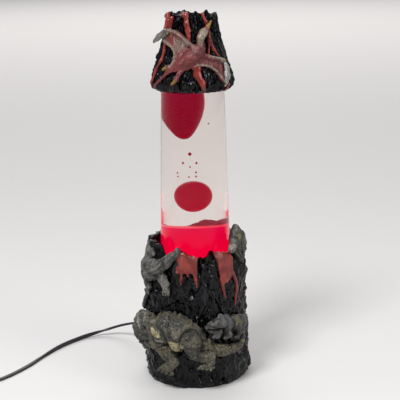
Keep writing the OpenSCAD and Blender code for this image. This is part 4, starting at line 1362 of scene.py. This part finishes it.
def make_lava(paint):
    """The lava on the base, below its rim, and on the cap, from the crater down."""
    def skin(points):
        run = points * (1, 0.45, 1)
        return 0.34 * wave(run, 3.2, 141) + 0.16 * wave(run, 1.5, 142)

    def colour(points, relief):
        near_rim = smooth_step(points[:, 1], 142, 156) * (points[:, 1] < 200)
        return coated(
            mottled(points, 7, 143, (112, 34, 29), (142, 54, 47), -0.4, 0.4),
            # Painted highlight: pale glints on the raised lava near the rim
            ((196, 136, 126), 0.5 * near_rim * smooth_step(relief, 0.0, 0.3)),
            # Painted shade in the hollows of the lava
            ((84, 28, 25), 0.5 * smooth_step(-relief, 0.0, 0.4)),
            # Painted highlight on the highest ripples
            ((206, 150, 142), 0.25 * smooth_step(relief, 0.22, 0.42)),
            # Painted shade where the lava meets the rock
            ((24, 9, 8), smooth_drop(points[:, 2], -0.2, 1.4)),
        )

    clay = Clay(base_radius, (240, 335), (80, 160), 9, 0.42)
    clay.sheet([(248, 154), (256, 155), (264, 150), (272, 147), (272, 131), (262, 132), (247, 131)],
               3.4, 1.2, 2.2)
    for drip in (
        [(254, 132, 1, 2), (253, 125, 1, 1.5), (252.5, 119, 1, 1)],
        [(269, 133, 1, 2.2), (270, 125, 1, 1.7), (271, 117, 1, 1)],
        [(261, 133, 1, 1.8), (261, 129, 1, 1)],
    ):
        clay.limb(drip, 1.5)
    clay.sheet([(290, 155), (300, 150), (314, 147), (317, 146), (318, 128), (312, 120), (307, 118),
                (301, 117), (298, 132), (296, 142)], 3.4, 1.2, 2.2)
    for drip in (
        [(301, 122, 1, 2.4), (303, 110, 1, 1.9), (305, 101, 1, 1.2)],
        [(317, 128, 1, 2.4), (323, 116, 1, 1.8), (325, 108, 1, 1.4), (321, 96, 1, 1.2),
         (319, 86, 1, 0.8)],
        [(251, 152, 1, 2.6), (270, 148, 1, 2.6)],
        [(294, 152, 1, 2.6), (312, 148, 1, 2.6)],
    ):
        clay.limb(drip, 1.5)
    clay.piece("lava_base", paint, "base", skin, colour, ["base_lava"], "lava")

    cap = Clay(cap_radius, (178, 330), (321, 406), 7, 0.42)
    for run in (
        [(196, 401, 1, 2.6), (208, 402, 1, 3), (214, 396, 1, 4), (212, 388, 1, 3.6),
         (214, 375, 1, 1.7), (215, 365, 1, 1.6), (214, 356, 1, 1.9), (205, 346, 1, 1.6),
         (201, 334, 1, 1.3), (196, 326, 1, 1.1)],
        [(224, 399, 1, 2.4), (222, 390, 1, 2.4), (222, 386, 1, 2)],
        [(252, 403, 1, 3), (259, 402, 1, 3), (260, 394, 1, 3.4), (263, 387, 1, 3.2),
         (265, 381, 1, 2.2), (266, 375, 1, 1.6)],
        [(296, 403, 1, 2), (302, 395, 1, 2), (305, 385, 1, 2.2), (306, 376, 1, 2.4),
         (311, 367, 1, 1.9), (318, 361, 1, 1.3)],
        [(303, 374, 1, 1.7), (299, 363, 1, 1)],
        [(268, 352, 1, 2.6), (277, 350, 1, 3.6), (277, 343, 1, 3.2), (283, 335, 1, 2.6),
         (286, 326, 1, 1.6)],
        [(327, 330, 1, 1.4), (325, 325, 1, 1.2)],
    ):
        cap.limb(run, 1.8)
    cap.piece("lava_cap", paint, "cap", skin, colour, ["cap_lava"], "lava")


def lava_paint():
    """Glossy painted lava with runny ripples."""
    p = Paint("lava_paint", (0.2, 0.05, 0.04), 0.2, Specular_IOR_Level=0.4)
    hue = p.attribute("hue").outputs["Color"]
    runs = p.noise(260, 5, p.stretched(1, 1, 0.45))
    p.drive("Base Color", p.mix(p.span(runs, 0.35, 0.55, 0.3, 0.0), hue, (0.09, 0.014, 0.012)))
    p.drive("Roughness", p.span(p.noise(400, 4), 0.35, 0.65, 0.1, 0.26))
    p.bump(runs, 0.35, 0.0016)
    return p.material


def tip_paint():
    """Thin, half-clear membrane at the wing tips."""
    p = Paint("membrane_tip", (0.5, 0.48, 0.45), 0.2, Transmission_Weight=0.55, IOR=1.45)
    hue = p.attribute("hue").outputs["Color"]
    veins = p.span(p.noise(500, 4), 0.4, 0.7, 0.0, 0.4)
    p.drive("Base Color", p.mix(veins, hue, (0.3, 0.26, 0.24)))
    p.set("Coat Weight", 0.5)
    p.bump(p.noise(600, 3), 0.2, 0.0006)
    return p.material


# ---------------------------------------------------------------- cord

CORD_W, CORD_T, CORD_LENGTH = 5.4, 2.7, 1.86  # millimetres, millimetres and metres
# The lead from the strain relief to the switch, in millimetres
LEAD = [
    (-53.8, 61.9, 30), (-62, 71, 28.5), (-72, 81, 24.5), (-83, 91, 19.5), (-96, 99, 14),
    (-111, 102, 8.5), (-128, 99, 4.5), (-146, 87, 2.8), (-162, 69, 2.7), (-175, 50, 2.4),
    (-186, 31, 1.8), (-195, 12, 1.4), (-207, -8, 1.4), (-221, -26, 1.4), (-236, -40, 2.5),
    (-250, -49, 6.5), (-258, -51.5, 8.7), (-266, -52, 9),
]
# How far the flat lead is turned on edge along that route, in degrees
LEAD_TURNS = [(0, 0), (0.3, 5), (0.38, 80), (0.5, 88), (0.57, 40), (0.65, 0), (1, 0)]
LINK = [
    (-322, -52, 9), (-331, -51, 7), (-341, -46, 4), (-349, -37, 1.8), (-352, -25, 1.4),
    (-349, -13, 1.4), (-343, -3, 1.4), (-339, 6, 1.4),
]
TAIL = [(-332, 30, 7.5), (-332, 42, 7.5), (-334, 50, 7.3), (-338, 58, 7), (-340, 66, 7)]
# Where the lead enters the switch and the switch's length, along x
SWITCH_X, SWITCH_LONG = LEAD[-1][0], 56
COIL_MIDDLE = (-302, 18)
# Each turn of the coil: radius and height
TURNS = [
    (35.4, 1.4), (30, 1.4), (24.6, 1.4), (24.6, 4.4), (30, 4.4), (35.4, 4.4), (30, 7.4), (30, 7.4),
]


def smooth_line(points, steps):
    """A Catmull-Rom line through points."""
    p = np.array(points, float)
    p = np.concatenate([[p[0]], p, [p[-1]]])
    line = []
    for a, b, c, d in zip(p, p[1:], p[2:], p[3:]):
        for t in np.arange(steps) / steps:
            line.append(0.5 * (
                2 * b + (c - a) * t + (2 * a - 5 * b + 4 * c - d) * t ** 2
                + (3 * b - a - 3 * c + d) * t ** 3
            ))
    return line + [p[-2]]


def coil_line(per_turn=40):
    """The wound length: clockwise from above, changing row in the last fifth of each turn."""
    line = []
    for (radius, height), (next_radius, next_height) in zip(TURNS, TURNS[1:]):
        for t in np.arange(per_turn) / per_turn:
            change = smooth_step(t, 0.8, 1.0)
            r = radius + (next_radius - radius) * change
            angle = math.pi - TURN * t
            line.append((
                COIL_MIDDLE[0] + r * math.cos(angle), COIL_MIDDLE[1] + r * math.sin(angle),
                height + (next_height - height) * change,
            ))
    return line + [(COIL_MIDDLE[0] - TURNS[-1][0], COIL_MIDDLE[1], TURNS[-1][1])]


def make_cord(rubber):
    """The flat twin lead, drawn along its route and through the switch as one piece."""
    lead = smooth_line(LEAD, 6)
    turns = follow(LEAD_TURNS, np.linspace(0, 1, len(lead)))
    through = [(SWITCH_X - SWITCH_LONG * t, *LEAD[-1][1:]) for t in (0.2, 0.4, 0.6, 0.8)]
    rest = through + smooth_line(LINK, 6) + coil_line() + smooth_line(TAIL, 6)
    path = np.array([tuple(p) for p in lead + rest])
    turns = np.radians(np.concatenate([turns, np.zeros(len(rest))]))
    lobe = CORD_T / 2
    outline = [
        (side * lobe + lobe * math.cos(a), lobe * math.sin(a))
        for side, low, high in ((1, -130, 130), (-1, 50, 310))
        for a in np.radians(np.linspace(low, high, 9))
    ]
    along = np.gradient(path, axis=0)
    along /= np.linalg.norm(along, axis=1)[:, None]
    across = np.cross((0, 0, 1), along)
    across /= np.linalg.norm(across, axis=1)[:, None]
    up = np.cross(along, across)
    c, s = np.cos(turns)[:, None, None], np.sin(turns)[:, None, None]
    u, v = np.array(outline).T
    u, v = u[None, :, None], v[None, :, None]
    rings = (
        path[:, None] + (u * c - v * s) * across[:, None] + (u * s + v * c) * up[:, None]
    )
    points = np.concatenate([rings.reshape(-1, 3), [path[0], path[-1]]])
    cord = mesh_object(
        "twin_lead", points, capped_faces(len(path), len(outline)), rubber, "base",
        ["cord_lead", "cord_link", "cord_coil", "cord_tail"], "cord_rubber",
    )
    [x * MM for x in LEAD[0]]


# ---------------------------------------------------------------- the pieces kept from the CAD

def dress(material, *nodes):
    """Give CAD nodes a material."""
    for node in nodes:
        mesh = bpy.data.objects[node].data
        mesh.materials.clear()
        mesh.materials.append(material)


def dress_nodes(rubber):
    """Materials of the nodes that are shown as they are in the CAD."""
    for name, colour, roughness, *nodes in (
        ("spun_aluminium", (0.72, 0.72, 0.73), 0.3, "globe_cup"),
        ("zinc_steel", (0.58, 0.58, 0.57), 0.32, "socket_bracket", "bracket_screws",
         "bottom_screws", "switch_screws", "wheel_pin"),
        ("brass", (0.72, 0.50, 0.20), 0.28, "socket_shell", "socket_contact", "bulb_base",
         "plug_blades"),
        ("solder", (0.52, 0.52, 0.51), 0.4, "bulb_contact"),
        ("tungsten", (0.25, 0.25, 0.26), 0.45, "filament"),
        ("crown_metal", (0.55, 0.50, 0.40), 0.3, "crown_cap"),
        ("spring_steel", (0.55, 0.55, 0.56), 0.25, "heating_coil"),
    ):
        dress(plain_metal(name, colour, roughness), *nodes)
    for name, colour, roughness, *nodes in (
        ("socket_plastic", (0.76, 0.70, 0.58), 0.35, "socket_body"),
        ("black_steel", (0.012, 0.012, 0.013), 0.35, "bottom_plate"),
        ("pad_rubber", (0.02, 0.02, 0.02), 0.75, "foot_pads"),
        ("black_plastic", (0.008, 0.008, 0.009), 0.3, "switch_lower", "switch_upper", "plug_body"),
        ("wheel_plastic", (0.74, 0.71, 0.62), 0.4, "thumbwheel"),
        ("liner", (0.74, 0.70, 0.62), 0.6, "cap_liner"),
    ):
        dress(plain_plastic(name, colour, roughness), *nodes)
    dress(rubber, "strain_relief", "inner_leads")
    frosted = Paint("bulb_envelope", (0.92, 0.90, 0.86), 0.35, Transmission_Weight=0.7, IOR=1.45)
    frosted.bump(frosted.noise(2500, 3), 0.1, 0.0002)
    frosted.drive("Roughness", frosted.span(frosted.noise(300, 3), 0.3, 0.7, 0.28, 0.42))
    dress(frosted.material, "bulb_glass", "bulb_stem")


make_camera()
rubber = plain_plastic("cord_rubber", (0.006, 0.006, 0.0065), 0.38)
make_cord(rubber)
make_studio()
dress_nodes(rubber)
rock = rock_paint()
make_base_rock(rock)
make_cap_rock(rock)
make_globe()
make_wax()
hide = hide_paint("painted_hide", roughness=0.5, pebbles=620, gloss=0.4, sheen=0.0)
for make_animal in (make_horned, make_young, make_climber, make_hunter):
    make_animal(hide)
membrane = hide_paint("membrane", roughness=0.34, pebbles=900, gloss=0.35, sheen=0.1)
make_flyer(membrane, tip_paint())
make_lava(lava_paint())
